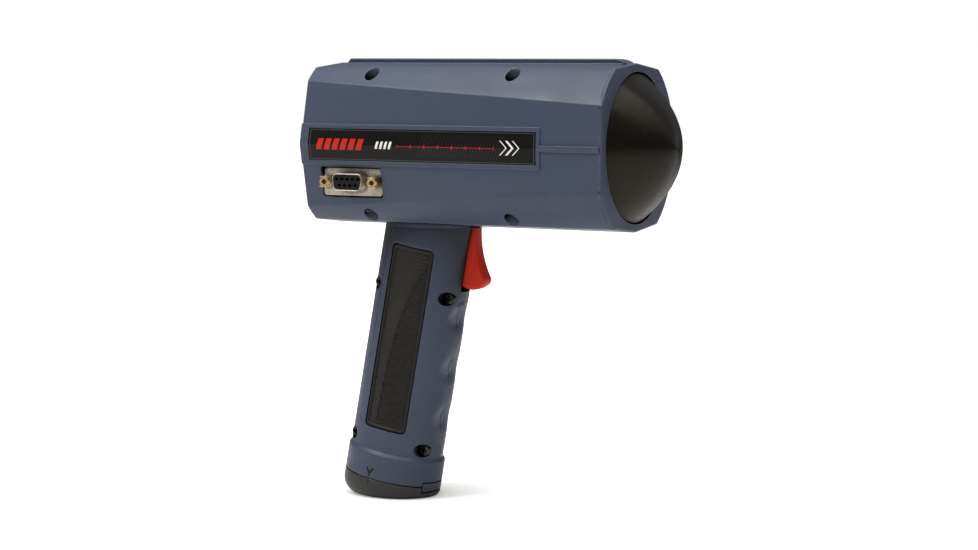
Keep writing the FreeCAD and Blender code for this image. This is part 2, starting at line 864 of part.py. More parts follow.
def key_body(name, y, z):
    """Key cap that passes through the panel, with a flange behind that keeps it in."""
    body = new_body(name)
    cap = sketch_on(body, "YZ_Plane", "panel_start - key_proud")
    rectangle(cap, str(y), str(z), "key_width / 2", "key_height / 2")
    pad(body, cap, "panel_thickness + key_proud + 2 * slip")
    doc.recompute()
    flange = sketch_on(body, "YZ_Plane", "panel_start + panel_thickness + slip")
    rectangle(flange, str(y), str(z), "key_width / 2 + key_flange", "key_height / 2 + key_flange")
    pad(body, flange, "key_flange")
    return body


for key_name, key_y, key_z in key_places():
    node(key_body(key_name, key_y, key_z), key_name, BARREL)


# ---------------------------------------------------------------- fasteners
# Shares of a screw head: its rounded rim, and the reach, width and depth of the cross recess
HEAD_ROUND, RECESS_REACH, RECESS_WIDTH, RECESS_DEPTH = 0.35, 0.62, 0.4, 0.6


def screw_shape(head_radius, head_height, shank_radius, length):
    """Pan-head cross-recessed screw along +z, with its head's underside at z = 0."""
    head = Part.makeCylinder(head_radius, head_height, Vector(0, 0, -head_height), Vector(0, 0, 1))
    rim = [edge for edge in head.Edges if edge.BoundBox.ZMax < -head_height + 1e-6]
    head = head.makeFillet(head_height * HEAD_ROUND, rim)
    shank = Part.makeCylinder(shank_radius, length)
    reach, slot = head_radius * RECESS_REACH, head_radius * RECESS_WIDTH / 2
    levels = (-head_height - 1, -head_height * (1 - RECESS_DEPTH))
    screw = head.fuse(shank).cut(slab((-reach, reach), (-slot, slot), levels))
    return screw.cut(slab((-slot, slot), (-reach, reach), levels))


def aimed(shape, place, direction):
    """Copy of a shape made along +z, moved to a place and turned to a direction."""
    copy = shape.copy()
    copy.Placement = Placement(place, Rotation(Vector(0, 0, 1), direction))
    return copy


def fastener_node(label, shape, places, frame):
    """One node of identical fasteners: a (place, direction) pair for each."""
    shapes = [aimed(shape, place, direction) for place, direction in places]
    return shape_node(Part.makeCompound(shapes), label, frame)


DOWN, UP = Vector(0, 0, -1), Vector(0, 0, 1)
AHEAD, INWARD = Vector(1, 0, 0), Vector(0, 1, 0)


def case_screw(length):
    """Screw of the case and of the handle, of a given length under its head."""
    return screw_shape(size("head_radius"), size("head_height"), size("screw_radius"), length)


upper_screws = [aimed(case_screw(seat + size("insert_grip")), Vector(x, y, seat), DOWN)
                for x, y, seat, _ in screw_columns()]
shape_node(Part.makeCompound(upper_screws), "upper_case_screws", BARREL)
low_lengths = [size("low_screw_rear")] * 2 + [size("low_screw_front")] * 2
lower_screws = [aimed(case_screw(length), Vector(x, y, -low_seat), UP)
                for (x, y, _, low_seat), length in zip(screw_columns(), low_lengths)]
shape_node(Part.makeCompound(lower_screws), "lower_case_screws", BARREL)
insert_tube = Part.makeCylinder(size("insert_radius"), size("insert_length")).cut(
    Part.makeCylinder(size("screw_radius"), size("insert_length")))
fastener_node("case_inserts", insert_tube,
              [(Vector(x, y, 0), DOWN) for x, y, _, _ in screw_columns()], BARREL)
panel_screw = screw_shape(size("small_head_radius"), size("small_head_height"),
                          size("small_screw_radius") - size("screw_slack"), size("rear_screw_length"))
fastener_node("rear_panel_screws", panel_screw,
              [(Vector(size("rear_screw_seat"), y, z), AHEAD) for y, z in rear_screw_places()], BARREL)


# ---------------------------------------------------------------- lens and antenna
def lens_shape():
    """Solid plano-convex lens: a short rim, then a paraboloid of revolution to its apex."""
    radius, edge, apex = size("lens_radius"), size("lens_edge"), size("lens_apex")
    back = size("lens_back")
    steps = 8
    points = []
    for step in range(steps + 1):
        share = step / steps
        points.append(Vector(apex - (apex - edge) * share * share, radius * share, 0))
    crown = Part.BSplineCurve()
    crown.interpolate(Points=points, InitialTangent=Vector(0, 1, 0),
                      FinalTangent=Vector(-2 * (apex - edge), radius, 0))
    foot = Vector(back, 0, 0)
    wire = Part.Wire([
        crown.toShape(),
        Part.makeLine(points[-1], Vector(back, radius, 0)),
        Part.makeLine(Vector(back, radius, 0), foot),
        Part.makeLine(foot, points[0]),
    ])
    return Part.Face(wire).revolve(Vector(), Vector(1, 0, 0), 360)


shape_node(lens_shape(), "lens", BARREL)
node(turned("gasket_body", [
    ("horn_mouth", "gasket_inner"),
    ("horn_mouth + gasket_thickness", "gasket_inner"),
    ("horn_mouth + gasket_thickness", "lens_radius - 0.4"),
    ("horn_mouth", "lens_radius - 0.4"),
]), "lens_gasket", BARREL)
node(turned("horn_body", [
    ("horn_throat", "horn_throat_radius"),
    ("horn_mouth", "horn_mouth_radius"),
    ("horn_mouth", "horn_lip_radius"),
    ("horn_mouth - horn_lip", "horn_lip_radius"),
    ("horn_mouth - horn_lip", "horn_mouth_radius + horn_wall"),
    ("horn_throat + 2 * horn_lip", "horn_throat_radius + horn_wall + horn_lip"),
    ("horn_throat + 2 * horn_lip", "flange_radius"),
    ("horn_throat", "flange_radius"),
]), "horn_antenna", BARREL)
node(turned("flange_body", [
    ("horn_throat - flange_thickness", "horn_throat_radius"),
    ("horn_throat", "horn_throat_radius"),
    ("horn_throat", "flange_radius"),
    ("horn_throat - flange_thickness", "flange_radius"),
]), "waveguide_flange", BARREL)
alone(block("module_block", "horn_throat - flange_thickness - module_length", "-module_half",
            "-module_half", "module_length", "2 * module_half", "2 * module_half"),
      "transceiver_module", BARREL)
bracket_plate = block("bracket_plate", "bracket_start", "-bracket_half",
                      "-chassis_high + chassis_thickness", "bracket_thickness", "2 * bracket_half",
                      "chassis_high - chassis_thickness + bracket_half")
bracket_hole = doc.addObject("Part::Cone", "bracket_hole")
bracket_hole.Placement = Placement(Vector(), TURNS["x"])
bind(bracket_hole, Placement__Base__x="horn_throat + 2 * horn_lip",
     Height="horn_mouth - 3 * horn_lip - horn_throat",
     Radius1="horn_throat_radius + horn_wall + horn_lip + bracket_gap",
     Radius2="horn_mouth_radius + horn_wall + bracket_gap")
node(cut("bracket_cut", bracket_plate, bracket_hole), "antenna_bracket", BARREL)

# ---------------------------------------------------------------- chassis plate and main board
chassis = new_body("chassis_body")
chassis_side = sketch_on(chassis, "XZ_Plane")
outline(chassis_side, [
    ("chassis_start", "-chassis_low"),
    ("chassis_step", "-chassis_low"),
    ("chassis_rise", "-chassis_high"),
    ("chassis_end", "-chassis_high"),
    ("chassis_end", "-chassis_high + chassis_thickness"),
    ("chassis_rise - 0.6", "-chassis_high + chassis_thickness"),
    ("chassis_step - 0.6", "-chassis_low + chassis_thickness"),
    ("chassis_start", "-chassis_low + chassis_thickness"),
])
pad(chassis, chassis_side, "2 * chassis_tab", both_ways=True)
doc.recompute()
chassis_holes = sketch_on(chassis, "XY_Plane")
for hole_x in ("column_rear", "column_front"):
    for hole_y in ("-column_side", "column_side"):
        circle(chassis_holes, hole_x, hole_y, "screw_clearance")
pocket(chassis, chassis_holes, "half_height")
for waist_side in ("-1", "1"):
    waist = sketch_on(chassis, "XY_Plane")
    rectangle(waist, "(column_rear + column_front) / 2",
              waist_side + " * (chassis_waist + chassis_tab + 1) / 2",
              "(column_front - column_rear) / 2 - chassis_arm", "(chassis_tab + 1 - chassis_waist) / 2")
    pocket(chassis, waist, "half_height")
node(chassis, "chassis_plate", BARREL)

main_board = new_body("main_board_body")
board_outline = sketch_on(main_board, "XY_Plane", "-board_top - board_thickness")
rectangle(board_outline, "board_start + board_length / 2", "0", "board_length / 2", "board_half")
pad(main_board, board_outline, "board_thickness")
doc.recompute()
board_holes = sketch_on(main_board, "XY_Plane")
for hole_x in ("board_start + board_inset", "board_start + board_length - board_inset"):
    for hole_y in ("board_inset - board_half", "board_half - board_inset"):
        circle(board_holes, hole_x, hole_y, "board_hole")
pocket(main_board, board_holes, "half_height")
node(main_board, "main_board", BARREL)

inset = size("board_inset")
board_rear = size("board_start") + inset
board_front = size("board_start") + size("board_length") - inset
board_corners = [(x, y) for x in (board_rear, board_front)
                 for y in (inset - size("board_half"), size("board_half") - inset)]
plate_top = size("chassis_thickness") - size("chassis_low")
spacer_length = -size("board_top") - size("board_thickness") - plate_top
spacer = Part.makeCylinder(size("spacer_radius"), spacer_length).cut(
    Part.makeCylinder(size("small_screw_radius"), spacer_length))
fastener_node("board_spacers", spacer,
              [(Vector(x, y, plate_top), UP) for x, y in board_corners], BARREL)
board_screw = screw_shape(size("small_head_radius"), size("small_head_height"),
                          size("small_screw_radius") - size("screw_slack"), size("board_screw_length"))
fastener_node("board_screws", board_screw,
              [(Vector(x, y, -size("board_top")), DOWN) for x, y in board_corners], BARREL)
shield_outer = block("shield_outer", "shield_start", "-shield_half", "-board_top",
                     "shield_length", "2 * shield_half", "shield_height")
shield_inner = block("shield_inner", "shield_start + shield_wall", "-shield_half + shield_wall",
                     "-board_top - shield_wall", "shield_length - 2 * shield_wall",
                     "2 * (shield_half - shield_wall)", "shield_height")
node(cut("shield_cut", shield_outer, shield_inner), "board_shield", BARREL)
alone(rod("speaker_rod", "z", "speaker_x", "0", "-speaker_base", "speaker_radius", "speaker_height"),
      "speaker", BARREL)


# ---------------------------------------------------------------- data socket
def d_outline(width, height, corner):
    """D-shaped outline in the local x-z plane, wider at the top, with rounded corners."""
    lean = height * math.tan(math.radians(size("port_slant")))
    half, tall = width / 2, height / 2
    points = [
        Vector(-half, 0, tall),
        Vector(half, 0, tall),
        Vector(half - lean, 0, -tall),
        Vector(-half + lean, 0, -tall),
    ]
    face = Part.Face(Part.makePolygon(points + points[:1]))
    prism = face.extrude(Vector(0, 1, 0))
    upright_edges = [edge for edge in prism.Edges if abs(edge.Vertexes[0].Y - edge.Vertexes[1].Y) > 0.5]
    rounded = prism.makeFillet(corner, upright_edges)
    return next(face for face in rounded.Faces if face.BoundBox.YMax < 1e-6)


def d_prism(width, height, corner, start, end):
    """D-shaped prism between two values of y, centred on the port."""
    face = d_outline(width, height, corner)
    face.translate(Vector(size("port_x"), start, size("port_z")))
    return face.extrude(Vector(0, end - start, 0))


PORT_FRONT = -size("port_face") - size("port_shell_length")
PORT_INNER_WIDTH = size("port_shell_width") - 2 * size("port_shell_wall")
PORT_INNER_HEIGHT = size("port_shell_height") - 2 * size("port_shell_wall")


def port_shell_shape():
    """Plated shell of the socket: flange with two holes and the D-shaped collar."""
    face, thick = size("port_face"), size("port_flange_thickness")
    half_x, half_z = size("port_flange_width") / 2, size("port_flange_height") / 2
    flange = port_block(half_x, half_z, -face, -face + thick)
    corners = [edge for edge in flange.Edges if abs(edge.Vertexes[0].Y - edge.Vertexes[1].Y) > thick / 2]
    flange = flange.makeFillet(size("port_flange_corner"), corners)
    corner = size("port_collar_corner")
    width, height = size("port_shell_width"), size("port_shell_height")
    collar = d_prism(width, height, corner, PORT_FRONT, -face + thick)
    inside = d_prism(PORT_INNER_WIDTH, PORT_INNER_HEIGHT, corner - size("port_shell_wall"),
                     PORT_FRONT - 1, -face + thick + 1)
    shape = flange.fuse(collar).cut(inside)
    for x in jackscrew_places():
        shape = shape.cut(crosswise(size("port_flange_hole"), x, size("port_z"), -face - 1, 0))
    return shape.removeSplitter()


def contact_places():
    """The nine (x, z) contact places: five over four, half a pitch apart."""
    upper = [(index - 2, 0.5) for index in range(5)]
    lower = [(index - 1.5, -0.5) for index in range(4)]
    return [(size("port_x") + column * size("contact_pitch"), size("port_z") + row * size("contact_rows"))
            for column, row in upper + lower]


def port_insert_shape():
    """Moulded insert inside the collar, with nine sockets, and its body behind the flange."""
    face = size("port_face")
    fit = size("port_fit")
    nose = d_prism(PORT_INNER_WIDTH - 2 * fit, PORT_INNER_HEIGHT - 2 * fit,
                   size("port_collar_corner") - size("port_shell_wall") - fit,
                   PORT_FRONT + size("port_insert_setback"), -face + size("port_flange_thickness"))
    rear = port_block(size("port_body_half_x"), size("port_body_half_z"),
                      -face + size("port_flange_thickness"), -face + size("port_body_depth"))
    sockets = [crosswise(size("contact_radius"), x, z, PORT_FRONT, 0) for x, z in contact_places()]
    return nose.fuse(rear).cut(sockets)


def port_contact_shape():
    """One spring contact, a tube along +z that ends in a solder tail."""
    length = size("port_shell_length") + size("port_body_depth") - size("contact_setback")
    tube = Part.makeCylinder(size("contact_radius") - size("contact_slack"), length)
    tail = Part.makeCylinder(size("contact_tail_radius"), size("contact_tail"), Vector(0, 0, length))
    bore = Part.makeCylinder(size("contact_bore"), size("contact_bore_depth"))
    return tube.fuse(tail).cut(bore)


def jackscrew_shape():
    """Hexagonal jackscrew along +z: threaded bore in its face and a stud through the flange."""
    length, rounding = size("jackscrew_length"), size("jackscrew_round")
    corner = size("jackscrew_flats") / math.sqrt(3)
    turns = [math.radians(60 * index) for index in range(7)]
    corners = [Vector(corner * math.cos(turn), corner * math.sin(turn), 0) for turn in turns]
    hexagon = Part.Face(Part.makePolygon(corners)).extrude(Vector(0, 0, length))
    round_off = Part.makeCone(corner - rounding / 3, corner + rounding, rounding).fuse(
        Part.makeCylinder(corner + rounding, length, Vector(0, 0, rounding)))
    stud = Part.makeCylinder(size("jackscrew_stud"), size("jackscrew_stud_length"), Vector(0, 0, length))
    bore = Part.makeCylinder(size("jackscrew_bore"), size("jackscrew_bore_depth"))
    return hexagon.common(round_off).fuse(stud).cut(bore)


shape_node(port_shell_shape(), "port_shell", BARREL)
shape_node(port_insert_shape(), "port_insert", BARREL)
fastener_node("port_contacts", port_contact_shape(),
              [(Vector(x, PORT_FRONT + size("contact_setback"), z), INWARD)
               for x, z in contact_places()], BARREL)
fastener_node("port_jackscrews", jackscrew_shape(),
              [(Vector(x, -size("port_face") - size("jackscrew_length"), size("port_z")), INWARD)
               for x in jackscrew_places()], BARREL)


# ---------------------------------------------------------------- handle
def oval(a, b, centre, low, high):
    """Upright elliptical prism in the grip frame."""
    ellipse = Part.Ellipse(Vector(centre, 0, low), a, b)
    return Part.Face(Part.Wire(ellipse.toShape())).extrude(Vector(0, 0, high - low))


def grip_oval(depth, low, high):
    """Elliptical prism of the grip, inset by a depth."""
    return oval(size("grip_a") - depth, size("grip_b") - depth, size("grip_centre"), low, high)


def barrel_in_grip(depth):
    """Space above the barrel's underside, inset by a depth, as it stands in the grip frame."""
    low = size("half_height") - depth * math.hypot(1, size("roof_fall"))
    rise = low - size("roof_fall") * REACH
    outline_points = [Vector(-REACH, y, z) for y, z in
                      ((0, -low), (REACH, -rise), (REACH, REACH), (-REACH, REACH), (-REACH, -rise))]
    face = Part.Face(Part.makePolygon(outline_points + outline_points[:1]))
    space = face.extrude(Vector(4 * REACH, 0, 0))
    space.Placement = GRIP.inverse().multiply(BARREL)
    return space


def from_barrel(shape):
    """Shape of the barrel frame as it stands in the grip frame."""
    moved = shape.copy()
    moved.Placement = GRIP.inverse().multiply(BARREL).multiply(moved.Placement)
    return moved


def collar_solid(depth):
    """Wider collar at the handle's foot with its tapered shoulder, inset by a depth."""
    height, taper = size("collar_height"), size("collar_taper")
    a, b, centre = size("collar_a") - depth, size("collar_b") - depth, size("collar_centre")
    ring = oval(a, b, centre, 0, height)
    lower = Part.Wire(Part.Ellipse(Vector(centre, 0, height), a, b).toShape())
    upper = Part.Wire(Part.Ellipse(Vector(size("grip_centre"), 0, height + taper),
                                   size("grip_a") - depth, size("grip_b") - depth).toShape())
    return ring.fuse(Part.makeLoft([lower, upper], True, True))


def insert_window(margin):
    """Rounded block through the handle's sides where the rubber inserts sit."""
    block_shape = slab(
        (size("insert_rear") - margin, size("insert_front") + margin),
        (-REACH, REACH),
        (size("insert_low") - margin, size("insert_high") + margin),
    )
    edges = [edge for edge in block_shape.Edges if abs(edge.Vertexes[0].Y - edge.Vertexes[1].Y) > 1]
    return block_shape.makeFillet(size("insert_corner"), edges)


def grip_screw_places():
    """The four (x, z) places of the screws that cross the handle."""
    return [(x, z) for x in (size("grip_screw_front"), size("grip_screw_rear"))
            for z in (size("grip_screw_high"), size("grip_screw_low"))]


def finger_scallops():
    """Three cylinders that press the finger scallops into the front of the grip."""
    half = size("scallop_pitch") / 2 - size("scallop_land")
    depth = size("scallop_depth")
    radius = (half * half + depth * depth) / (2 * depth)
    front = size("grip_centre") + size("grip_a")
    levels = [size("scallop_first") + index * size("scallop_pitch") for index in range(3)]
    return [crosswise(radius, front - depth + radius, level, -REACH, REACH) for level in levels]


def neck_solid(outer):
    """Neck and inner lip that clamp the lower shell's wall, or the cable way through them."""
    corner, wall = size("neck_corner"), size("neck_wall")
    half_x, half_y = size("neck_half_x"), size("neck_half_y")
    if not outer:
        return rounded_column(half_x - wall, half_y - wall, corner - 1, -REACH, 0)
    neck = rounded_column(half_x, half_y, corner, size("neck_foot"), size("lip_top"))
    lip = rounded_column(size("lip_half_x"), size("lip_half_y"), corner,
                         size("lip_base"), size("lip_top"))
    return neck.fuse(lip)


def handle_shape():
    """Whole handle before it is split: oval grip, collar, neck, shelves and bosses."""
    outer = grip_oval(0, size("collar_height"), size("grip_top")).fuse(collar_solid(0))
    outer = outer.cut(finger_scallops()).cut(barrel_in_grip(0))
    hollow = grip_oval(size("grip_wall"), -1, size("grip_top")).cut(barrel_in_grip(-size("wall")))
    shelves = [slab((-REACH, REACH), (-REACH, REACH), (level, level + size("shelf_thickness")))
               for level in (size("shelf_low"), size("shelf_high"))]
    keep_high = slab((size("switch_rear") - 2, size("switch_front")), (-REACH, REACH), (0, REACH * 3))
    inside = grip_oval(1, 0, size("grip_top")).cut(barrel_in_grip(0))
    shelf_parts = [shelves[0].common(inside), shelves[1].common(inside).common(keep_high)]
    bosses = [crosswise(size("grip_boss_radius"), x, z, -REACH, REACH).common(inside)
              for x, z in grip_screw_places()]
    pivot = crosswise(size("pivot_boss"), size("pivot_x"), size("pivot_z"), -REACH, REACH).common(inside)
    shape = outer.cut(hollow).fuse(shelf_parts + bosses + [pivot, from_barrel(neck_solid(True))])
    lead_way = upright(size("lead_way"), 0, 0, (size("shelf_low") - 1, size("shelf_high") + 5))
    return shape.cut([from_barrel(neck_solid(False)), trigger_slot(), lead_way, latch_notch()])


def trigger_slot():
    """Slot in the front of the handle that the trigger moves in."""
    half = size("slot_half_width")
    slot = slab((size("switch_front") + 1, REACH), (-half, half), (size("slot_low"), size("grip_top") + 9))
    return slot.cut(barrel_in_grip(-0.01))


def latch_notch():
    """Notch in the collar's front over the latch."""
    half = size("latch_half_width") + size("latch_gap")
    top = size("latch_top") + size("latch_gap")
    inner = size("latch_inner") - size("latch_travel") - size("latch_gap") - 0.6
    return slab((inner, REACH), (-half, half), (-1, top))


def handle_half(side):
    """Left or right half of the handle, with its insert pocket and screw holes."""
    keep = slab((-REACH, 2 * REACH), sorted((0, side * REACH)), (-REACH, 3 * REACH))
    half = handle_shape().common(keep)
    skin = grip_oval(size("insert_pocket"), 0, size("grip_top"))
    half = half.cut(insert_window(size("slip")).cut(skin))
    pin = crosswise(size("pivot_bore"), size("pivot_x"), size("pivot_z"),
                    -size("pin_half_length") - size("slip"), size("pin_half_length") + size("slip"))
    cutters = [pin]
    for x, z in grip_screw_places():
        if side == RIGHT:
            cutters.append(crosswise(size("grip_screw_pocket"), x, z, -REACH, -size("grip_screw_seat")))
            cutters.append(crosswise(size("screw_clearance"), x, z, -size("grip_screw_seat") - 1, 1))
        else:
            cutters.append(crosswise(size("insert_radius"), x, z, -1, size("insert_length")))
    return half.cut(cutters)


def rubber_insert(side):
    """Rubber insert that fills its pocket up to just below the handle's skin."""
    skin = grip_oval(size("insert_sink"), 0, size("grip_top")).cut(
        grip_oval(size("insert_pocket") - size("slip") / 2, -1, size("grip_top") + 1))
    keep = slab((-REACH, REACH), sorted((0, side * REACH)), (0, 3 * REACH))
    return skin.common(insert_window(0)).common(keep)


shape_node(handle_half(RIGHT), "handle_right", GRIP)
shape_node(handle_half(LEFT), "handle_left", GRIP)
shape_node(rubber_insert(RIGHT), "grip_insert_right", GRIP)
shape_node(rubber_insert(LEFT), "grip_insert_left", GRIP)
fastener_node("handle_screws", case_screw(size("grip_screw_seat") + size("insert_grip")),
              [(Vector(x, -size("grip_screw_seat"), z), INWARD) for x, z in grip_screw_places()], GRIP)
fastener_node("handle_inserts", insert_tube,
              [(Vector(x, 0, z), INWARD) for x, z in grip_screw_places()], GRIP)


# ---------------------------------------------------------------- trigger and switch
def trigger_shape():
    """Trigger blade: hollowed front, rounded tip, and the arm inside that holds the pivot."""
    half = size("trigger_half_width")
    arm_x = size("plunger_tip") + size("plunger_gap")
    arm_low, arm_top = Vector(arm_x, -half, size("arm_low")), Vector(arm_x, -half, size("arm_top"))
    brow, belly, tip, keel, heel = [Vector(size(name + "_x"), -half, size(name + "_z"))
                                    for name in ("brow", "belly", "tip", "keel", "heel")]
    edges = [
        Part.makeLine(arm_low, arm_top),
        Part.makeLine(arm_top, brow),
        Part.Arc(brow, belly, tip).toShape(),
        Part.Arc(tip, keel, heel).toShape(),
        Part.makeLine(heel, arm_low),
    ]
    blade = Part.Face(Part.Wire(edges)).extrude(Vector(0, 2 * half, 0))
    tip_edge = [edge for edge in blade.Edges if edge.BoundBox.XMin > tip.x - 0.1]
    blade = blade.makeFillet(size("trigger_tip_round"), tip_edge)
    rims = [edge for edge in blade.Edges
            if edge.BoundBox.XMin > heel.x - 0.1 and edge.BoundBox.YLength < 1e-6]
    blade = blade.makeFillet(size("trigger_round"), rims)
    bore = crosswise(size("pivot_bore"), size("pivot_x"), size("pivot_z"), -REACH, REACH)
    half_slot = size("spring_slot")
    slot = slab((0, size("pivot_x") + size("spring_room")), (-half_slot, half_slot),
                (size("pivot_z") - size("spring_room"), REACH * 3))
    return blade.cut([bore, slot])


def torsion_spring():
    """Close coil of the torsion spring round the pivot pin."""
    radius, wire = size("spring_radius"), size("spring_wire")
    pitch = 2 * wire + size("spring_gap")
    length = pitch * size("spring_turns")
    helix = Part.makeHelix(pitch, length, radius)
    profile = Part.Wire(Part.makeCircle(wire, Vector(radius, 0, 0), Vector(0, 1, 0)))
    coil = Part.Wire(helix.Edges).makePipeShell([profile], True, True)
    centre = Vector(size("pivot_x"), length / 2, size("pivot_z"))
    return Part.makeCompound([aimed(coil, centre, Vector(0, -1, 0))])


shape_node(trigger_shape(), "trigger", GRIP)
alone(rod("pin_rod", "y", "pivot_x", "-pin_half_length", "pivot_z", "pivot_radius",
          "2 * pin_half_length"), "trigger_pin", GRIP)
shape_node(torsion_spring(), "trigger_spring", GRIP)
switch_case = block("switch_case", "switch_rear", "-switch_half_width", "switch_low",
                    "switch_front - switch_rear", "2 * switch_half_width", "switch_height")
switch_bore = rod("switch_bore", "x", "plunger_bore_end", "0", "plunger_z", "plunger_radius + plunger_gap",
                  "switch_front")
node(cut("switch_cut", switch_case, switch_bore), "trigger_switch", GRIP)
alone(rod("plunger_rod", "x", "plunger_rear", "0", "plunger_z", "plunger_radius",
          "plunger_tip - plunger_rear"), "switch_plunger", GRIP)

# ---------------------------------------------------------------- battery, contacts, cap and latch
case_body = new_body("case_body")
case_sketch = sketch_on(case_body, "XY_Plane", "case_low")
circle(case_sketch, "grip_centre", "0", "case_radius")
pad(case_body, case_sketch, "case_top - case_low")
case_hole = sketch_on(case_body, "XY_Plane", "case_low")
circle(case_hole, "grip_centre", "0", "case_radius - case_wall")
pocket(case_body, case_hole, "case_top - case_low - case_wall", reverse=True)
node(case_body, "battery_case", GRIP)
node(group("cells", [
    rod("cell_%d" % index, "z", "grip_centre", "0", "cell_low + %d * (cell_length + 0.2)" % index,
        "cell_radius", "cell_length") for index in (0, 1)]), "battery_cells", GRIP)
node(group("pads", [
    rod("pad_%d" % index, "z", "grip_centre", "%d * contact_spread" % side, "case_top",
        "contact_pad_radius", "contact_pad_height")
    for index, side in enumerate((RIGHT, LEFT))]), "battery_contacts", GRIP)
alone(rod("contact_board_rod", "z", "grip_centre", "0", "contact_board_top - contact_board_thickness",
          "contact_board_radius", "contact_board_thickness"), "contact_board", GRIP)
node(group("pins", [
    rod("pin_%d" % index, "z", "grip_centre", "%d * contact_spread" % side, "contact_pin_tip",
        "contact_pin_radius", "contact_board_top - contact_board_thickness - contact_pin_tip")
    for index, side in enumerate((RIGHT, LEFT))]), "contact_pins", GRIP)


def floor_in_grip(level):
    """Everything above a level of the standing face, in the grip frame."""
    space = slab((-2 * REACH, 2 * REACH), (-REACH, REACH), (level, 3 * REACH))
    space.Placement = GRIP.inverse()
    return space


def oval_halves(a, b, centre, low, high):
    """Elliptical prism whose wall is two faces that meet at the front and the rear."""
    ellipse = Part.Ellipse(Vector(centre, 0, low), a, b)
    arcs = [ellipse.toShape(0, math.pi), ellipse.toShape(math.pi, 2 * math.pi)]
    return Part.Face(Part.Wire(arcs)).extrude(Vector(0, 0, high - low))


def cap_wedge():
    """Wedge between the seam and the standing face, its lower edge rounded more at the rear."""
    wedge = oval_halves(size("collar_a"), size("collar_b"), size("collar_centre"),
                        -size("collar_a"), -size("seam_gap"))
    wedge = wedge.common(floor_in_grip(0))
    holder = doc.addObject("Part::Feature", "cap_blank")
    holder.Shape = wedge
    rounds = []
    for number, edge in enumerate(wedge.Edges, start=1):
        if edge.BoundBox.ZMax < -1.5 and edge.Length > 20:
            ends = [edge.valueAt(edge.FirstParameter), edge.valueAt(edge.LastParameter)]
            radii = [size("cap_round_rear") if end.x < 0 else size("cap_round_front") for end in ends]
            rounds.append((number, radii[0], radii[1]))
    rounded = doc.addObject("Part::Fillet", "cap_rounded")
    rounded.Base = holder
    rounded.Edges = rounds
    doc.recompute()
    return rounded.Shape.copy()


def cap_shape():
    """Base cap: wedge, plug that enters the handle, seal groove and room for the latch."""
    depth = size("grip_wall") + size("plug_gap")
    plug = grip_oval(depth, -size("seam_gap") - 0.2, size("plug_top"))
    shape = cap_wedge().fuse(plug)
    level, wire = size("seal_level"), size("seal_wire")
    groove = grip_oval(depth - 1, level - wire, level + wire)
    groove = groove.cut(grip_oval(depth + size("seal_depth"), 0, size("plug_top") + 1))
    half = size("latch_half_width") + size("latch_gap")
    inner = size("latch_inner") - size("latch_travel") - size("latch_gap") - 0.5
    notch = slab((inner, REACH), (-half, half), (-REACH, size("plug_top") + 1))
    notch = notch.common(floor_in_grip(size("latch_foot") - size("latch_gap")))
    socket = upright(size("case_radius") + 0.05, size("grip_centre"), 0, (size("case_low"), REACH))
    return shape.cut([groove, notch, socket])


def seal_shape():
    """Seal strip in the plug's groove; it stops short of the latch."""
    depth = size("grip_wall") + size("plug_gap")
    play = size("slip") / 2
    level, wire = size("seal_level"), size("seal_wire") - play
    strip = grip_oval(depth - size("slip"), level - wire, level + wire)
    strip = strip.cut(grip_oval(depth + size("seal_depth") - play, 0, level + 2))
    half = size("latch_half_width") + size("latch_gap") + 2 * size("slip")
    return strip.cut(slab((0, REACH), (-half, half), (-REACH, REACH)))


def latch_shape():
    """Latch tab flush with the cap's front, over the strip that is left at the cap's foot."""
    half = size("latch_half_width")
    flush = oval(size("collar_a"), size("collar_b"), size("collar_centre"),
                 -size("collar_a"), size("latch_top"))
    window = slab((size("latch_inner"), REACH), (-half, half), (-REACH, REACH))
    return flush.common(window).common(floor_in_grip(size("latch_foot")))


shape_node(cap_shape(), "battery_cap", GRIP)
shape_node(seal_shape(), "cap_seal", GRIP)
shape_node(latch_shape(), "battery_latch", GRIP)
alone(block("leaf_block", "latch_inner - latch_travel - latch_gap - 0.5", "-latch_half_width + 2", "-1.5",
            "leaf_thickness", "2 * latch_half_width - 4", "2.6"), "latch_spring", GRIP)

# ---------------------------------------------------------------- checks and export
doc.recompute()
for item in doc.Objects:
    if any(word in item.State for word in ("Invalid", "Error")):
        raise RuntimeError("failed object: " + item.Name)
labels = [item.Label for item in nodes]
if len(set(labels)) != len(labels) or len(labels) > 60:
    raise RuntimeError("labels repeat or are too many")
for item in nodes:
    if item.Shape.isNull() or not item.Shape.isValid() or item.Shape.Volume <= 0:
        raise RuntimeError("bad shape: " + item.Label)
    item.Shape.exportStep("parts/%s.step" % item.Label)
    print("%-22s solids %2d  volume %10.1f" % (item.Label, len(item.Shape.Solids), item.Shape.Volume))
print(len(nodes), "nodes")
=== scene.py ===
import json
import math

import bmesh
import bpy
from mathutils import Matrix, Vector

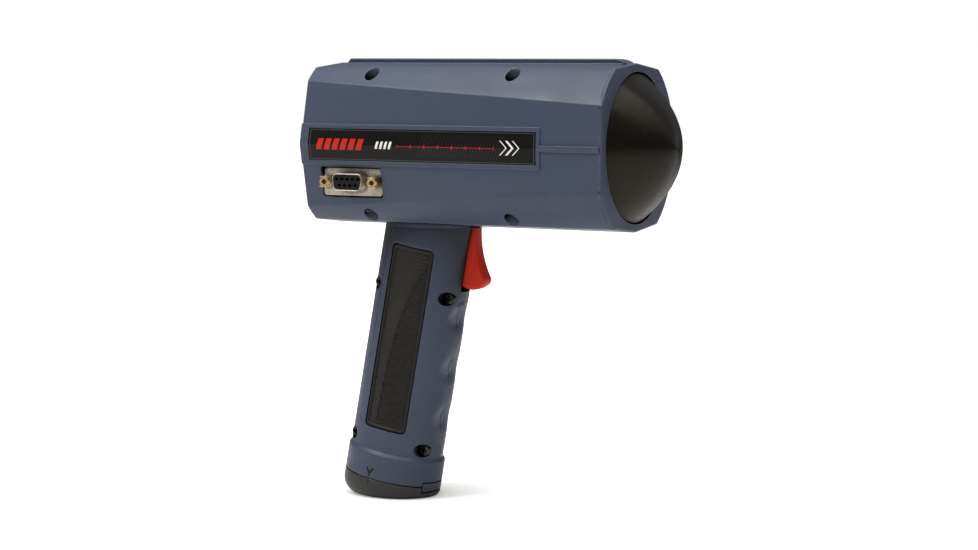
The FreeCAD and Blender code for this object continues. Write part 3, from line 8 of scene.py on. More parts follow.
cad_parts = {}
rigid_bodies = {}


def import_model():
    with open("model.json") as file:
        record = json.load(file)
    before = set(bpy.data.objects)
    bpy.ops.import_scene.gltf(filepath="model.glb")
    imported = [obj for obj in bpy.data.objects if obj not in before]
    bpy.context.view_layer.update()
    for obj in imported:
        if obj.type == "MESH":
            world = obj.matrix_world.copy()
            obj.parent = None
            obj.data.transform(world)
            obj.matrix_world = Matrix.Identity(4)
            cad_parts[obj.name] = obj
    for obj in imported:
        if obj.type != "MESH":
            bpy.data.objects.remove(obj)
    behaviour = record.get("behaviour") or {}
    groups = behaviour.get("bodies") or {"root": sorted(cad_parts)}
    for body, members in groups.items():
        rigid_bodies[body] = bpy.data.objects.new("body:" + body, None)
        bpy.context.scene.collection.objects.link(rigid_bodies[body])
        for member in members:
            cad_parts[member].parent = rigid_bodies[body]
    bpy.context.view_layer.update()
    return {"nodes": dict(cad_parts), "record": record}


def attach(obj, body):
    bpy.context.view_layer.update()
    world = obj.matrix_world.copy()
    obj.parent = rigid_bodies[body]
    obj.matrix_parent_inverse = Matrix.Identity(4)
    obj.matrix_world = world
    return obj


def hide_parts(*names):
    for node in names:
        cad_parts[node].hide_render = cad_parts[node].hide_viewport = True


# Hand-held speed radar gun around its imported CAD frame. Everything is in metres, in the CAD's frame.
# Numbers that end in MM, and the sizes given to the builders below, are millimetres in one of two
# local frames: the barrel's (x from the rear rim, z from the parting plane) and the grip's (z along
# the raked handle, from the seam above the base cap).
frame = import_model()
for imported in list(bpy.data.materials):
    bpy.data.materials.remove(imported)

MM = 0.001
BARREL_REAR, BARREL_HEIGHT, BARREL_BELLY = -27.25, 164.7, 127
BARREL = Matrix.Translation((BARREL_REAR * MM, 0, BARREL_HEIGHT * MM)) @ Matrix.Scale(MM, 4)
GRIP_FORWARD, GRIP_HEIGHT, GRIP_RAKE = 1.65, 9.3, math.radians(10)
GRIP = (Matrix.Translation((GRIP_FORWARD * MM, 0, GRIP_HEIGHT * MM))
        @ Matrix.Rotation(GRIP_RAKE, 4, "Y") @ Matrix.Scale(MM, 4))


# ---------------------------------------------------------------- procedural materials
class Value:
    """Output of a shader node that can be used in plain arithmetic."""

    def __init__(self, tree, socket):
        self.tree, self.socket = tree, socket

    def math(self, operation, *others):
        node = self.tree.nodes.new("ShaderNodeMath")
        node.operation = operation
        for slot, item in zip(node.inputs, (self,) + others):
            if isinstance(item, Value):
                self.tree.links.new(item.socket, slot)
            else:
                slot.default_value = item
        return Value(self.tree, node.outputs[0])

    def __add__(self, other):
        return self.math("ADD", other)

    def __sub__(self, other):
        return self.math("SUBTRACT", other)

    def __mul__(self, other):
        return self.math("MULTIPLY", other)

    def below(self, other):
        return self.math("LESS_THAN", other)

    def above(self, other):
        return self.math("GREATER_THAN", other)

    def size(self):
        return self.math("ABSOLUTE")

    def within(self, low, high):
        """1 between two values, else 0."""
        return self.above(low) * self.below(high)

    def either(self, other):
        return self.math("MAXIMUM", other)

    def repeat(self, pitch):
        """Distance from the nearest multiple of a pitch."""
        return self.math("PINGPONG", pitch / 2)

    def ramp(self, low, high, start=0.0, end=1.0):
        """Linear map from one range to another, held at its ends."""
        node = self.tree.nodes.new("ShaderNodeMapRange")
        self.tree.links.new(self.socket, node.inputs["Value"])
        for name, number in (("From Min", low), ("From Max", high),
                             ("To Min", start), ("To Max", end)):
            node.inputs[name].default_value = number
        return Value(self.tree, node.outputs["Result"])


class Finish:
    """Material of one slot: a Principled shader with its textures."""

    def __init__(self, name, color, roughness, **settings):
        self.material = bpy.data.materials.new(name)
        self.material.use_nodes = True
        self.tree = self.material.node_tree
        self.shader = self.tree.nodes["Principled BSDF"]
        self.shader.inputs["Base Color"].default_value = (*color, 1)
        self.shader.inputs["Roughness"].default_value = roughness
        for key, value in settings.items():
            self.shader.inputs[key.replace("_", " ")].default_value = value
        self.material.diffuse_color = (*color, 1)
        self.place = self.tree.nodes.new("ShaderNodeTexCoord").outputs["Object"]

    def axes(self):
        """Object coordinates x, y and z in millimetres."""
        node = self.tree.nodes.new("ShaderNodeSeparateXYZ")
        self.tree.links.new(self.place, node.inputs[0])
        return [Value(self.tree, output) * (1 / MM) for output in node.outputs]

    def noise(self, grain, detail=2.0, rough=0.5, stretch=(1, 1, 1)):
        """Noise whose grain is given in millimetres."""
        node = self.tree.nodes.new("ShaderNodeTexNoise")
        node.inputs["Scale"].default_value = 1 / (grain * MM)
        node.inputs["Detail"].default_value = detail
        node.inputs["Roughness"].default_value = rough
        place = self.place
        if stretch != (1, 1, 1):
            mapping = self.tree.nodes.new("ShaderNodeMapping")
            mapping.inputs["Scale"].default_value = stretch
            self.tree.links.new(place, mapping.inputs[0])
            place = mapping.outputs[0]
        self.tree.links.new(place, node.inputs["Vector"])
        return Value(self.tree, node.outputs["Fac"])

    def line_noise(self, along, grain, detail=3.0):
        """One-dimensional noise along a value in millimetres."""
        node = self.tree.nodes.new("ShaderNodeTexNoise")
        node.noise_dimensions = "1D"
        node.inputs["Scale"].default_value = 1.0
        node.inputs["Detail"].default_value = detail
        self.tree.links.new((along * (1 / grain)).socket, node.inputs["W"])
        return Value(self.tree, node.outputs["Fac"])

    def edges(self, radius):
        """Near 1 on edges that are sharper than a radius in millimetres, 0 on flat ground."""
        bevel = self.tree.nodes.new("ShaderNodeBevel")
        bevel.samples = 6
        bevel.inputs["Radius"].default_value = radius * MM
        ground = self.tree.nodes.new("ShaderNodeNewGeometry")
        node = self.tree.nodes.new("ShaderNodeVectorMath")
        node.operation = "DOT_PRODUCT"
        self.tree.links.new(bevel.outputs[0], node.inputs[0])
        self.tree.links.new(ground.outputs["Normal"], node.inputs[1])
        return Value(self.tree, node.outputs["Value"]).ramp(0.995, 0.93)

    # The mask by which the finishes paint shade in holes, gaps and under overhangs.
    def crevices(self, reach, open_share=0.74, closed_share=0.44):
        """1 where a surface sees less than the closed share of its surroundings within a reach in
        millimetres, as deep inside holes and gaps, and 0 above the open share."""
        node = self.tree.nodes.new("ShaderNodeAmbientOcclusion")
        node.samples = 8
        node.inputs["Distance"].default_value = reach * MM
        return Value(self.tree, node.outputs["AO"]).ramp(open_share, closed_share)

    def tint(self, mask, color, strength=1.0):
        """Lay another colour over the base where a mask is 1."""
        node = self.tree.nodes.new("ShaderNodeMix")
        node.data_type = "RGBA"
        slot = self.shader.inputs["Base Color"]
        if slot.links:
            self.tree.links.new(slot.links[0].from_socket, node.inputs["A"])
        else:
            node.inputs["A"].default_value = slot.default_value
        node.inputs["B"].default_value = (*color, 1)
        self.tree.links.new((mask * strength).socket, node.inputs["Factor"])
        self.tree.links.new(node.outputs["Result"], slot)

    def roughen(self, mask, start, end):
        """Roughness that goes from start to end as a mask goes from 0 to 1."""
        slot = self.shader.inputs["Roughness"]
        self.tree.links.new(mask.ramp(0, 1, start, end).socket, slot)

    def bump(self, height, depth, strength=1.0):
        """Relief: height from 0 to 1 stands for a depth in millimetres."""
        node = self.tree.nodes.new("ShaderNodeBump")
        node.inputs["Strength"].default_value = strength
        node.inputs["Distance"].default_value = depth * MM
        self.tree.links.new(height.socket, node.inputs["Height"])
        self.tree.links.new(node.outputs["Normal"], self.shader.inputs["Normal"])


def moulded(name, color, roughness, grain=0.35, depth=0.02, edge_wear_and_sheen=0.25, light=(0.5, 0.5, 0.5),
            shaded_gaps=True, **settings):
    """Moulded plastic: fine texture, uneven gloss, faint mottling, paler edges that are partly wear
    and partly a painted highlight, and painted shade in holes and gaps.
    """
    made = Finish(name, color, roughness, **settings)
    fine = made.noise(grain, 2.0, 0.6)
    broad = made.noise(18, 4.0, 0.55)
    scuffs = made.noise(5, 6.0, 0.7, (1, 1, 3))
    made.tint(broad.ramp(0.35, 0.7), [c * 0.78 for c in color], 0.5)
    made.tint(fine.ramp(0.45, 0.75), [c * 1.18 for c in color], 0.35)
    # Paler edges broken up by scuffs: partly wear, partly a painted highlight along the edges.
    made.tint(made.edges(0.7) * scuffs.ramp(0.38, 0.62), light, edge_wear_and_sheen)
    # Painted shade: near black deep in holes, gaps and seams.
    if shaded_gaps:
        made.tint(made.crevices(14), [c * 0.03 for c in color], 0.98)
    made.roughen(broad.ramp(0.3, 0.7) * 0.6 + scuffs.ramp(0.3, 0.7) * 0.4,
                 max(0.05, roughness - 0.07), roughness + 0.08)
    made.bump(fine, depth, 0.5)
    return made


def metal(name, color, roughness, grain=0.6, depth=0.02, stain=(0.2, 0.15, 0.1), soil=0.3):
    """Plated or machined metal: uneven gloss, fine scratches and a little tarnish."""
    made = Finish(name, color, roughness, Metallic=1.0)
    fine = made.noise(grain, 4.0, 0.7)
    scratches = made.noise(0.5, 3.0, 0.6, (1, 12, 1))
    broad = made.noise(3, 5.0, 0.7)
    made.tint(broad.ramp(0.45, 0.75), stain, soil)
    made.roughen(fine.ramp(0.3, 0.7) * 0.6 + scratches.ramp(0.3, 0.7) * 0.4,
                 max(0.05, roughness - 0.1), roughness + 0.15)
    made.bump(fine, depth, 0.4)
    return made


finishes = {}


def keep(made):
    """File a finish under its slot's name."""
    finishes[made.material.name] = made.material
    return made


blue = keep(moulded("blue_case", (0.047, 0.0595, 0.098), 0.39, light=(0.28, 0.31, 0.38),
                    Specular_IOR_Level=0.28))
_, _, blue_z = blue.axes()
# Painted shadow: the handle just under the barrel darkens where the barrel hems it in, fading out
# downwards.
shadowed_under_barrel = blue_z.below(BARREL_BELLY) * blue_z.ramp(60, 95)
blue.tint(blue.crevices(60, 1.0, 0.78) * shadowed_under_barrel, (0.006, 0.008, 0.012), 0.92)
keep(moulded("black_panel", (0.016, 0.016, 0.018), 0.5, grain=0.5, depth=0.04,
             light=(0.12, 0.12, 0.12)))
keep(moulded("display_body", (0.34, 0.4, 0.3), 0.35, edge_wear_and_sheen=0.0, shaded_gaps=False))
keep(moulded("soft_rubber", (0.02, 0.02, 0.02), 0.7, edge_wear_and_sheen=0.1))
keep(moulded("speaker_black", (0.02, 0.02, 0.02), 0.5))
keep(moulded("black_insulator", (0.006, 0.006, 0.006), 0.45, grain=0.25, edge_wear_and_sheen=0.0,
             Specular_IOR_Level=0.2))
keep(moulded("black_cap", (0.017, 0.014, 0.012), 0.4, light=(0.16, 0.15, 0.14), edge_wear_and_sheen=0.35))
keep(moulded("key_rubber", (0.09, 0.1, 0.12), 0.6, grain=0.3, light=(0.25, 0.26, 0.28)))
keep(moulded("switch_plunger", (0.7, 0.66, 0.58), 0.35, edge_wear_and_sheen=0.0))
keep(moulded("battery_wrap", (0.03, 0.03, 0.035), 0.3, edge_wear_and_sheen=0.1))
keep(moulded("cell_can", (0.12, 0.22, 0.4), 0.3, edge_wear_and_sheen=0.0))
keep(moulded("red_trigger", (0.53, 0.022, 0.006), 0.45, grain=0.4, depth=0.012, edge_wear_and_sheen=0.1,
             light=(0.6, 0.12, 0.07), Specular_IOR_Level=0.18))
keep(moulded("grip_rubber", (0.0118, 0.0098, 0.0068), 0.6, grain=0.25, depth=0.03, edge_wear_and_sheen=0.15,
             light=(0.07, 0.062, 0.05), Specular_IOR_Level=0.3))
screw = keep(metal("black_screw", (0.035, 0.033, 0.03), 0.35, stain=(0.3, 0.28, 0.26), soil=0.25))
# Painted shade in the recesses of the screw heads.
screw.tint(screw.crevices(6, 0.7, 0.35), (0.004, 0.004, 0.004), 0.9)
keep(metal("brass_insert", (0.75, 0.55, 0.24), 0.3))
keep(metal("cast_horn", (0.72, 0.72, 0.74), 0.35))
keep(metal("plated_box", (0.66, 0.66, 0.64), 0.3))
keep(metal("sheet_metal", (0.6, 0.6, 0.62), 0.35))
keep(metal("bright_screw", (0.7, 0.7, 0.7), 0.25))
shell_metal = keep(metal("plated_shell", (0.66, 0.61, 0.52), 0.34, grain=0.5, depth=0.1,
                         stain=(0.24, 0.19, 0.13), soil=0.75))
# Painted shade in the shell's gaps and hollows.
shell_metal.tint(shell_metal.crevices(3, 0.9, 0.55), (0.03, 0.025, 0.02), 0.85)
gold = keep(metal("gold_contact", (0.6, 0.43, 0.18), 0.3))
# Painted shade down the contact sockets.
gold.tint(gold.crevices(4, 0.95, 0.6), (0.01, 0.008, 0.004), 0.95)
keep(metal("yellow_plated", (0.62, 0.47, 0.25), 0.34, stain=(0.28, 0.18, 0.09), soil=0.6))
keep(metal("steel_pin", (0.6, 0.6, 0.62), 0.22))
keep(moulded("circuit_board", (0.012, 0.12, 0.045), 0.3, edge_wear_and_sheen=0.0))
glass = keep(Finish("display_glass", (0.02, 0.024, 0.024), 0.06, Alpha=0.25, IOR=1.49))
glass.roughen(glass.noise(6, 4.0, 0.6).ramp(0.4, 0.7), 0.04, 0.12)

# The lens is turned on a lathe: fine rings round its axis, which spread the light across them
lens = keep(Finish("lens_plastic", (0.0035, 0.003, 0.0024), 0.34, Anisotropic=0.92,
                   Anisotropic_Rotation=0.25, Specular_IOR_Level=0.26,
                   Specular_Tint=(1.0, 0.86, 0.72, 1)))
_, lens_y, lens_z = lens.axes()
lens_up = lens_z - BARREL_HEIGHT
ring = (lens_y * lens_y + lens_up * lens_up).math("SQRT")
turning = lens.line_noise(ring, 0.55, 4.0)
lens.tint(turning.ramp(0.4, 0.75), (0.012, 0.01, 0.008), 0.5)
handling = lens.noise(9, 5.0, 0.6)
lens.roughen(turning.ramp(0.3, 0.7) * 0.7 + handling.ramp(0.3, 0.7) * 0.3, 0.3, 0.46)
lens.bump(turning, 0.03, 0.5)
radial = lens.tree.nodes.new("ShaderNodeTangent")
radial.direction_type, radial.axis = "RADIAL", "X"
lens.tree.links.new(radial.outputs[0], lens.shader.inputs["Tangent"])

# The label's print, in millimetres along the barrel and above the fold. Each row of bars has its
# start, end, pitch, bar width, lowest and highest level.
label = keep(Finish("label_film", (0.0065, 0.006, 0.006), 0.24, Specular_IOR_Level=0.16))
label_x, _, label_z = label.axes()
along = label_x - BARREL_REAR
above = label_z - BARREL_HEIGHT
RED, DARK_RED, PALE = (0.5, 0.02, 0.012), (0.3, 0.012, 0.01), (0.75, 0.74, 0.7)
GREY, DIM = (0.1, 0.1, 0.09), (0.02, 0.019, 0.018)
HATCH_BARS = (62, 104, 1.6, 0.35, -5.2, 5.2)
RED_BARS = (8.5, 33.7, 4.2, 2.9, -2.4, 2.7)
PALE_BARS = (39.5, 48.5, 2.25, 1.2, -1.6, 1.7)
LINE_START, LINE_END, LINE_DROP, LINE_HALF = 51, 100, 0.3, 0.17
TICK_PITCH, TICK_HALF, TICK_REACH = 7, 0.2, 0.8
CHEVRON_START, CHEVRON_END, CHEVRON_REACH = 105.8, 112.6, 3.2
CHEVRON_GAP, CHEVRON_PITCH, CHEVRON_GAP_HALF = 107.5, 3.4, 1.1
BORDER_MIDDLE, BORDER_X, BORDER_Z = 62.4, (56.9, 57.25), (6.45, 6.75)


def slanted_bars(start, end, pitch, width, low, high):
    """Mask of a row of bars that lean forward between two places along the label."""
    leaning = along - above * 0.3
    bars = (leaning - start).repeat(pitch).above((pitch - width) / 2)
    return bars * leaning.within(start, end) * above.within(low, high)


label.tint(slanted_bars(*HATCH_BARS), DIM)
label.tint(slanted_bars(*RED_BARS), RED)
label.tint(slanted_bars(*PALE_BARS), PALE)
on_line = along.within(LINE_START, LINE_END)
from_line = (above + LINE_DROP).size()
ticks = (along - LINE_START).repeat(TICK_PITCH).below(TICK_HALF)
label.tint(on_line * from_line.below(LINE_HALF), DARK_RED)
label.tint(ticks * on_line * from_line.below(TICK_REACH), RED)
folded = along + above.size()
chevrons = (folded - CHEVRON_GAP).repeat(CHEVRON_PITCH).above(CHEVRON_GAP_HALF)
on_chevrons = folded.within(CHEVRON_START, CHEVRON_END)
label.tint(chevrons * on_chevrons * above.size().below(CHEVRON_REACH), PALE)
beside_middle = (along - BORDER_MIDDLE).size()
border = beside_middle.within(*BORDER_X).either(above.size().within(*BORDER_Z))
inside_border = beside_middle.below(BORDER_X[1]) * above.size().below(BORDER_Z[1])
label.tint(border * inside_border, GREY, 0.5)
label.roughen(label.noise(12, 4.0, 0.6), 0.2, 0.32)

for part in frame["record"]["subparts"]:
    mesh = frame["nodes"][part["node"]].data
    mesh.materials.clear()
    mesh.materials.append(finishes[part["material_slot"]])
SLOTS = {part["node"]: part["material_slot"] for part in frame["record"]["subparts"]}
BODIES = {node: item.parent.name.split(":", 1)[1] for node, item in frame["nodes"].items()}


# ---------------------------------------------------------------- builders
def publish(bm, name, node, place, smooth=True, sharp=30, mark=None):
    """Turn a bmesh in a local frame into a piece that stands for a node, or is a mark on it."""
    mesh = bpy.data.meshes.new(name)
    bmesh.ops.recalc_face_normals(bm, faces=bm.faces)
    bm.to_mesh(mesh)
    bm.free()
    mesh.transform(place)
    for polygon in mesh.polygons:
        polygon.use_smooth = smooth
    if smooth:
        mesh.set_sharp_from_angle(angle=math.radians(sharp))
    item = bpy.data.objects.new(name, mesh)
    bpy.context.scene.collection.objects.link(item)
    return dress(item, node, mark)


def dress(item, node, mark=None):
    """Finish, body and slot of the node that a piece stands for; a mark has a slot of its own."""
    slot = mark or SLOTS[node]
    item.data.materials.clear()
    item.data.materials.append(finishes[slot])
    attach(item, BODIES[node])
    if mark is None:
        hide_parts(node)
    return item


def bake_modifiers(item):
    """Replace a piece's mesh by its evaluated mesh and drop its modifiers."""
    graph = bpy.context.evaluated_depsgraph_get()
    made = bpy.data.meshes.new_from_object(item.evaluated_get(graph))
    item.modifiers.clear()
    item.data = made
    return item


SHARP_TURN, GENTLE_TURN, LONG_EDGE = 28, 9, 18 * MM


def soften(node, width, name, fine=None, segments=2, along_barrel=False):
    """Copy of a CAD node with its sharp edges rounded over a width in millimetres.

    With along_barrel, long gentle edges that run along the barrel are rounded too. fine(middle)
    gives a share of the width at an edge's middle point, so that low steps keep their height."""
    bm = bmesh.new()
    bm.from_mesh(frame["nodes"][node].data)
    bmesh.ops.remove_doubles(bm, verts=bm.verts, dist=2e-6)
    bmesh.ops.dissolve_limit(bm, angle_limit=math.radians(0.4), verts=bm.verts, edges=bm.edges)
    layer = bm.edges.layers.float.new("bevel_weight_edge")
    for edge in bm.edges:
        if len(edge.link_faces) != 2:
            continue
        turn = math.degrees(edge.calc_face_angle(0))
        line = edge.verts[1].co - edge.verts[0].co
        is_long = along_barrel and line.length > LONG_EDGE and abs(line.x) > 0.9 * line.length
        if turn > SHARP_TURN or (is_long and turn > GENTLE_TURN):
            middle = (edge.verts[0].co + edge.verts[1].co) / 2
            edge[layer] = fine(middle) if fine else 1.0
    mesh = bpy.data.meshes.new(name)
    bm.to_mesh(mesh)
    bm.free()
    item = bpy.data.objects.new(name, mesh)
    bpy.context.scene.collection.objects.link(item)
    bevel = item.modifiers.new("round", "BEVEL")
    bevel.limit_method = "WEIGHT"
    bevel.width = width * MM
    bevel.segments = segments
    bevel.use_clamp_overlap = False
    bevel.miter_outer = "MITER_ARC"
    bake_modifiers(item)
    return dress(settle(item), node)


def settle(item, sharp=38):
    """Smooth shading with weighted normals, so that flat faces stay flat next to rounded edges."""
    for polygon in item.data.polygons:
        polygon.use_smooth = True
    item.data.set_sharp_from_angle(angle=math.radians(sharp))
    weighted = item.modifiers.new("weighted", "WEIGHTED_NORMAL")
    weighted.keep_sharp = True
    return bake_modifiers(item)


def lathe(profile, around):
    """Surface turned about the local x axis from (x, radius) points; ends on the axis are closed."""
    bm = bmesh.new()
    rings = []
    for x, radius in profile:
        if radius < 1e-6:
            rings.append([bm.verts.new((x, 0, 0))])
        else:
            angles = [2 * math.pi * i / around for i in range(around)]
            rings.append([bm.verts.new((x, radius * math.cos(angle), radius * math.sin(angle)))
                          for angle in angles])
    for near, far in zip(rings, rings[1:]):
        for i in range(around):
            j = (i + 1) % around
            corners = [near[i % len(near)], near[j % len(near)], far[j % len(far)], far[i % len(far)]]
            unique = list(dict.fromkeys(corners))
            if len(unique) > 2:
                bm.faces.new(unique)
    return bm


# ---------------------------------------------------------------- barrel
SIDE_STEPS = 35.5 * MM


def near_side(middle):
    """Less width on the low steps of the label's bed and the ridge, full width elsewhere."""
    return 0.4 if abs(middle.y) > SIDE_STEPS else 1.0


for shell in ("upper_housing", "lower_housing"):
    soften(shell, 0.6, shell.replace("_housing", "_case"), fine=near_side, along_barrel=True)

LENS_RADIUS, LENS_EDGE, LENS_APEX, LENS_BACK = 32.95, 151.4, 170.8, 148.0
LENS_STEPS, LENS_POWER, LENS_AROUND = 140, 2.15, 160
GROOVE_DEPTH, GROOVE_TURNS = 0.018, 300
profile = []
for step in range(LENS_STEPS + 1):
    t = step / LENS_STEPS
    groove = GROOVE_DEPTH * math.sin(t * GROOVE_TURNS) ** 2 * min(1, 8 * t)
    x = LENS_APEX - (LENS_APEX - LENS_EDGE) * t ** LENS_POWER - groove
    profile.append((x, LENS_RADIUS * t))
profile += [(LENS_EDGE - 0.5, LENS_RADIUS), (LENS_BACK, LENS_RADIUS), (LENS_BACK, 0)]
publish(lathe(profile, LENS_AROUND), "turned_lens", "lens", BARREL)

# ---------------------------------------------------------------- handle
GRIP_A, GRIP_B, GRIP_CENTRE = 22.6, 18.2, -0.4
SCALLOPS, SCALLOP_PITCH, SCALLOP_DEPTH, SCALLOP_LAND = (32.0, 56.0, 80.0), 24.0, 2.7, 0.9
FINGERS_LOW, FINGERS_HIGH, FINGERS_REAR, FINGERS_DEPTH = 16, 97, 6, 2.4
FINGER_LEVELS = [18 + 1.25 * step for step in range(63)]
FINGER_SIDES = [0.7 + 1.3 * step for step in range(11)]
REAR_GROOVE, GROOVE_HALF, GROOVE_SINK, GROOVE_LOW, GROOVE_HIGH = -14.5, 0.25, 0.28, 24, 112


def skin(y, depth=0.0):
    """How far forward the oval grip reaches at a side distance, inset by a depth."""
    share = 1 - (y / (GRIP_B - depth)) ** 2
    return GRIP_CENTRE + (GRIP_A - depth) * math.sqrt(max(0.0, share))


def hard_scallop(z):
    """Front of the cylinders that cut the scallops in the CAD shape."""
    half = SCALLOP_PITCH / 2 - SCALLOP_LAND
    radius = (half * half + SCALLOP_DEPTH ** 2) / (2 * SCALLOP_DEPTH)
    front = GRIP_CENTRE + GRIP_A
    away = min(abs(z - level) for level in SCALLOPS)
    if away > half:
        return math.inf
    return front - SCALLOP_DEPTH + radius - math.sqrt(radius * radius - away * away)


def soft_scallop(z):
    """Front of the same scallops as gentle waves."""
    front = GRIP_CENTRE + GRIP_A
    away = min(abs(z - level) for level in SCALLOPS)
    if away > SCALLOP_PITCH / 2:
        return front + away - SCALLOP_PITCH / 2
    return front - SCALLOP_DEPTH * (0.5 + 0.5 * math.cos(2 * math.pi * away / SCALLOP_PITCH))


def soft_step(excess, reach):
    """max(0, excess) with a rounded corner that reaches a little either side of zero."""
    if excess <= -reach:
        return 0.0
    if excess >= reach:
        return excess
    return (excess + reach) ** 2 / (4 * reach)


def slice_at(bm, axis, levels, chosen):
    """Cut the chosen faces by planes across an axis."""
    normal = Vector((axis == 0, axis == 1, axis == 2))
    for level in levels:
        faces = [face for face in bm.faces if chosen(face.calc_center_median())
                 and min(v.co[axis] for v in face.verts) < level - 1e-4
                 and max(v.co[axis] for v in face.verts) > level + 1e-4]
        if not faces:
            continue
        edges = list({edge for face in faces for edge in face.edges})
        bmesh.ops.bisect_plane(bm, geom=faces + edges, dist=1e-4, plane_co=normal * level,
                               plane_no=normal)


def by_fingers(place):
    """Whether a point in the grip's frame is in the zone of the finger scallops."""
    return place.x > FINGERS_REAR and FINGERS_LOW < place.z < FINGERS_HIGH


def away_from_scallops(middle):
    """No rounding on the edges that the scallops cut, full rounding elsewhere."""
    place = GRIP.inverted() @ middle
    cut_edge = abs(place.x - hard_scallop(place.z)) < 0.6 and abs(place.y) > 0.3
    return 0.0 if cut_edge and 20 < place.z < 92 else 1.0


def handle_half(node, side):
    """Softened half of the handle with gentle finger scallops and a fine groove behind the pad."""
    item = soften(node, 0.35, node.replace("handle", "grip_half"), fine=away_from_scallops)
    item.data.attributes.remove(item.data.attributes["custom_normal"])
    bm = bmesh.new()
    bm.from_mesh(item.data)
    bm.transform(GRIP.inverted())
    slice_at(bm, 2, FINGER_LEVELS, by_fingers)
    slice_at(bm, 1, [side * reach for reach in FINGER_SIDES], by_fingers)
    slice_at(bm, 0, (REAR_GROOVE - GROOVE_HALF, REAR_GROOVE, REAR_GROOVE + GROOVE_HALF),
             lambda c: c.x < -12 and GROOVE_LOW - 2 < c.z < GROOVE_HIGH + 2)
    slice_at(bm, 2, (GROOVE_LOW, GROOVE_HIGH), lambda c: -16 < c.x < -12.5)
    for vert in bm.verts:
        x, y, z = vert.co
        if x > skin(y, FINGERS_DEPTH) and by_fingers(vert.co):
            hard = min(skin(y), hard_scallop(z))
            soft = skin(y) - soft_step(skin(y) - soft_scallop(z), 1.3)
            vert.co.x = soft if abs(x - hard) < 0.2 else x + soft - hard
        in_groove = abs(x - REAR_GROOVE) < 0.02 and GROOVE_LOW - 0.1 < z < GROOVE_HIGH + 0.1
        if in_groove and abs(y) > 12:
            vert.co.y = y - side * GROOVE_SINK
    bm.transform(GRIP)
    bm.to_mesh(item.data)
    bm.free()
    return dress(settle(item, 34), node)


handle_half("handle_right", -1)
handle_half("handle_left", 1)


def rise(value, low, high):
    """Smooth step from 0 to 1 between two values."""
    share = min(1.0, max(0.0, (value - low) / (high - low)))
    return share * share * (3 - 2 * share)


PAD_HALF, PAD_LOW, PAD_HIGH, PAD_CORNER = 10.7, 23.5, 110.3, 2.2
PAD_TOP, PAD_RELIEF, PAD_FLOOR = 0.3, 0.75, 1.64
PAD_ACROSS, PAD_TALL = 76, 300
RIB_PITCH, STUD_PITCH, STUD_SLANT = 1.7, 2.3, 0.62


def pad_relief(x, z):
    """Relief of a rubber pad, from 0 (floor of the field) to 1 (top of its border).

    A curved line parts a field of ribs on its rear side from a field of studs on its front side."""
    edge = min(PAD_HALF - abs(x), z - PAD_LOW, PAD_HIGH - z)
    border = rise(edge, -0.1, 0.6) * (1 - rise(edge, 1.3, 1.8))
    down = (PAD_HIGH - z) / (PAD_HIGH - PAD_LOW)
    line = -PAD_HALF + 2 * PAD_HALF * (0.24 + 0.85 * math.exp(-3.3 * down))
    beside = x - line
    ribs = 0.5 + 0.5 * math.cos(2 * math.pi * z / RIB_PITCH)
    lean_a, lean_b = (x + STUD_SLANT * z) / STUD_PITCH, (x - STUD_SLANT * z) / STUD_PITCH
    studs = rise(math.cos(2 * math.pi * lean_a) * math.cos(2 * math.pi * lean_b), 0.0, 0.75)
    inside = rise(edge, 2.0, 2.5)
    left = (0.1 + 0.42 * ribs * rise(beside, -7.0, -6.4)) * rise(-beside, 0.35, 0.7)
    right = (0.05 + 0.8 * studs) * rise(beside, 0.35, 0.7)
    rib = 0.8 * (1 - rise(abs(beside), 0.15, 0.5))
    return max(border, inside * max(left + right, rib))


def rubber_pad(name, node, side):
    """Rubber pad with a raised border and two fields of texture, bent to the oval grip."""
    across, tall = PAD_ACROSS, PAD_TALL
    bm = bmesh.new()
    rows = []
    for j in range(tall + 1):
        row = []
        for i in range(across + 1):
            x = -PAD_HALF + 2 * PAD_HALF * i / across
            z = PAD_LOW + (PAD_HIGH - PAD_LOW) * j / tall
            is_low = z < (PAD_LOW + PAD_HIGH) / 2
            centre_x = math.copysign(PAD_HALF - PAD_CORNER, x)
            centre_z = PAD_LOW + PAD_CORNER if is_low else PAD_HIGH - PAD_CORNER
            off_x, off_z = x - centre_x, z - centre_z
            beyond = off_x * centre_x > 0 and (off_z < 0) == is_low
            relief = pad_relief(x, z)
            if beyond and off_z:
                reach = max(abs(off_x), abs(off_z)) / math.hypot(off_x, off_z)
                x, z = centre_x + off_x * reach, centre_z + off_z * reach
            depth = PAD_TOP + PAD_RELIEF * (1 - relief)
            b = GRIP_B - depth
            y = side * b * math.sqrt(max(0.0, 1 - ((x - GRIP_CENTRE) / (GRIP_A - depth)) ** 2))
            row.append(bm.verts.new((x, y, z)))
        rows.append(row)
    for low, high in zip(rows, rows[1:]):
        for i in range(across):
            bm.faces.new((low[i], low[i + 1], high[i + 1], high[i]))
    rim = ([rows[0][i] for i in range(across + 1)]
           + [rows[j][across] for j in range(1, tall + 1)]
           + [rows[tall][i] for i in range(across - 1, -1, -1)]
           + [rows[j][0] for j in range(tall - 1, 0, -1)])
    floor_ring = []
    for vert in rim:
        b = GRIP_B - PAD_FLOOR
        y = side * b * math.sqrt(1 - ((vert.co.x - GRIP_CENTRE) / (GRIP_A - PAD_FLOOR)) ** 2)
        floor_ring.append(bm.verts.new((vert.co.x, y, vert.co.z)))
    for i in range(len(rim)):
        j = (i + 1) % len(rim)
        bm.faces.new((rim[i], rim[j], floor_ring[j], floor_ring[i]))
    bm.faces.new(floor_ring)
    return publish(bm, name, node, GRIP, sharp=60)


rubber_pad("rubber_pad_right", "grip_insert_right", -1)
rubber_pad("rubber_pad_left", "grip_insert_left", 1)


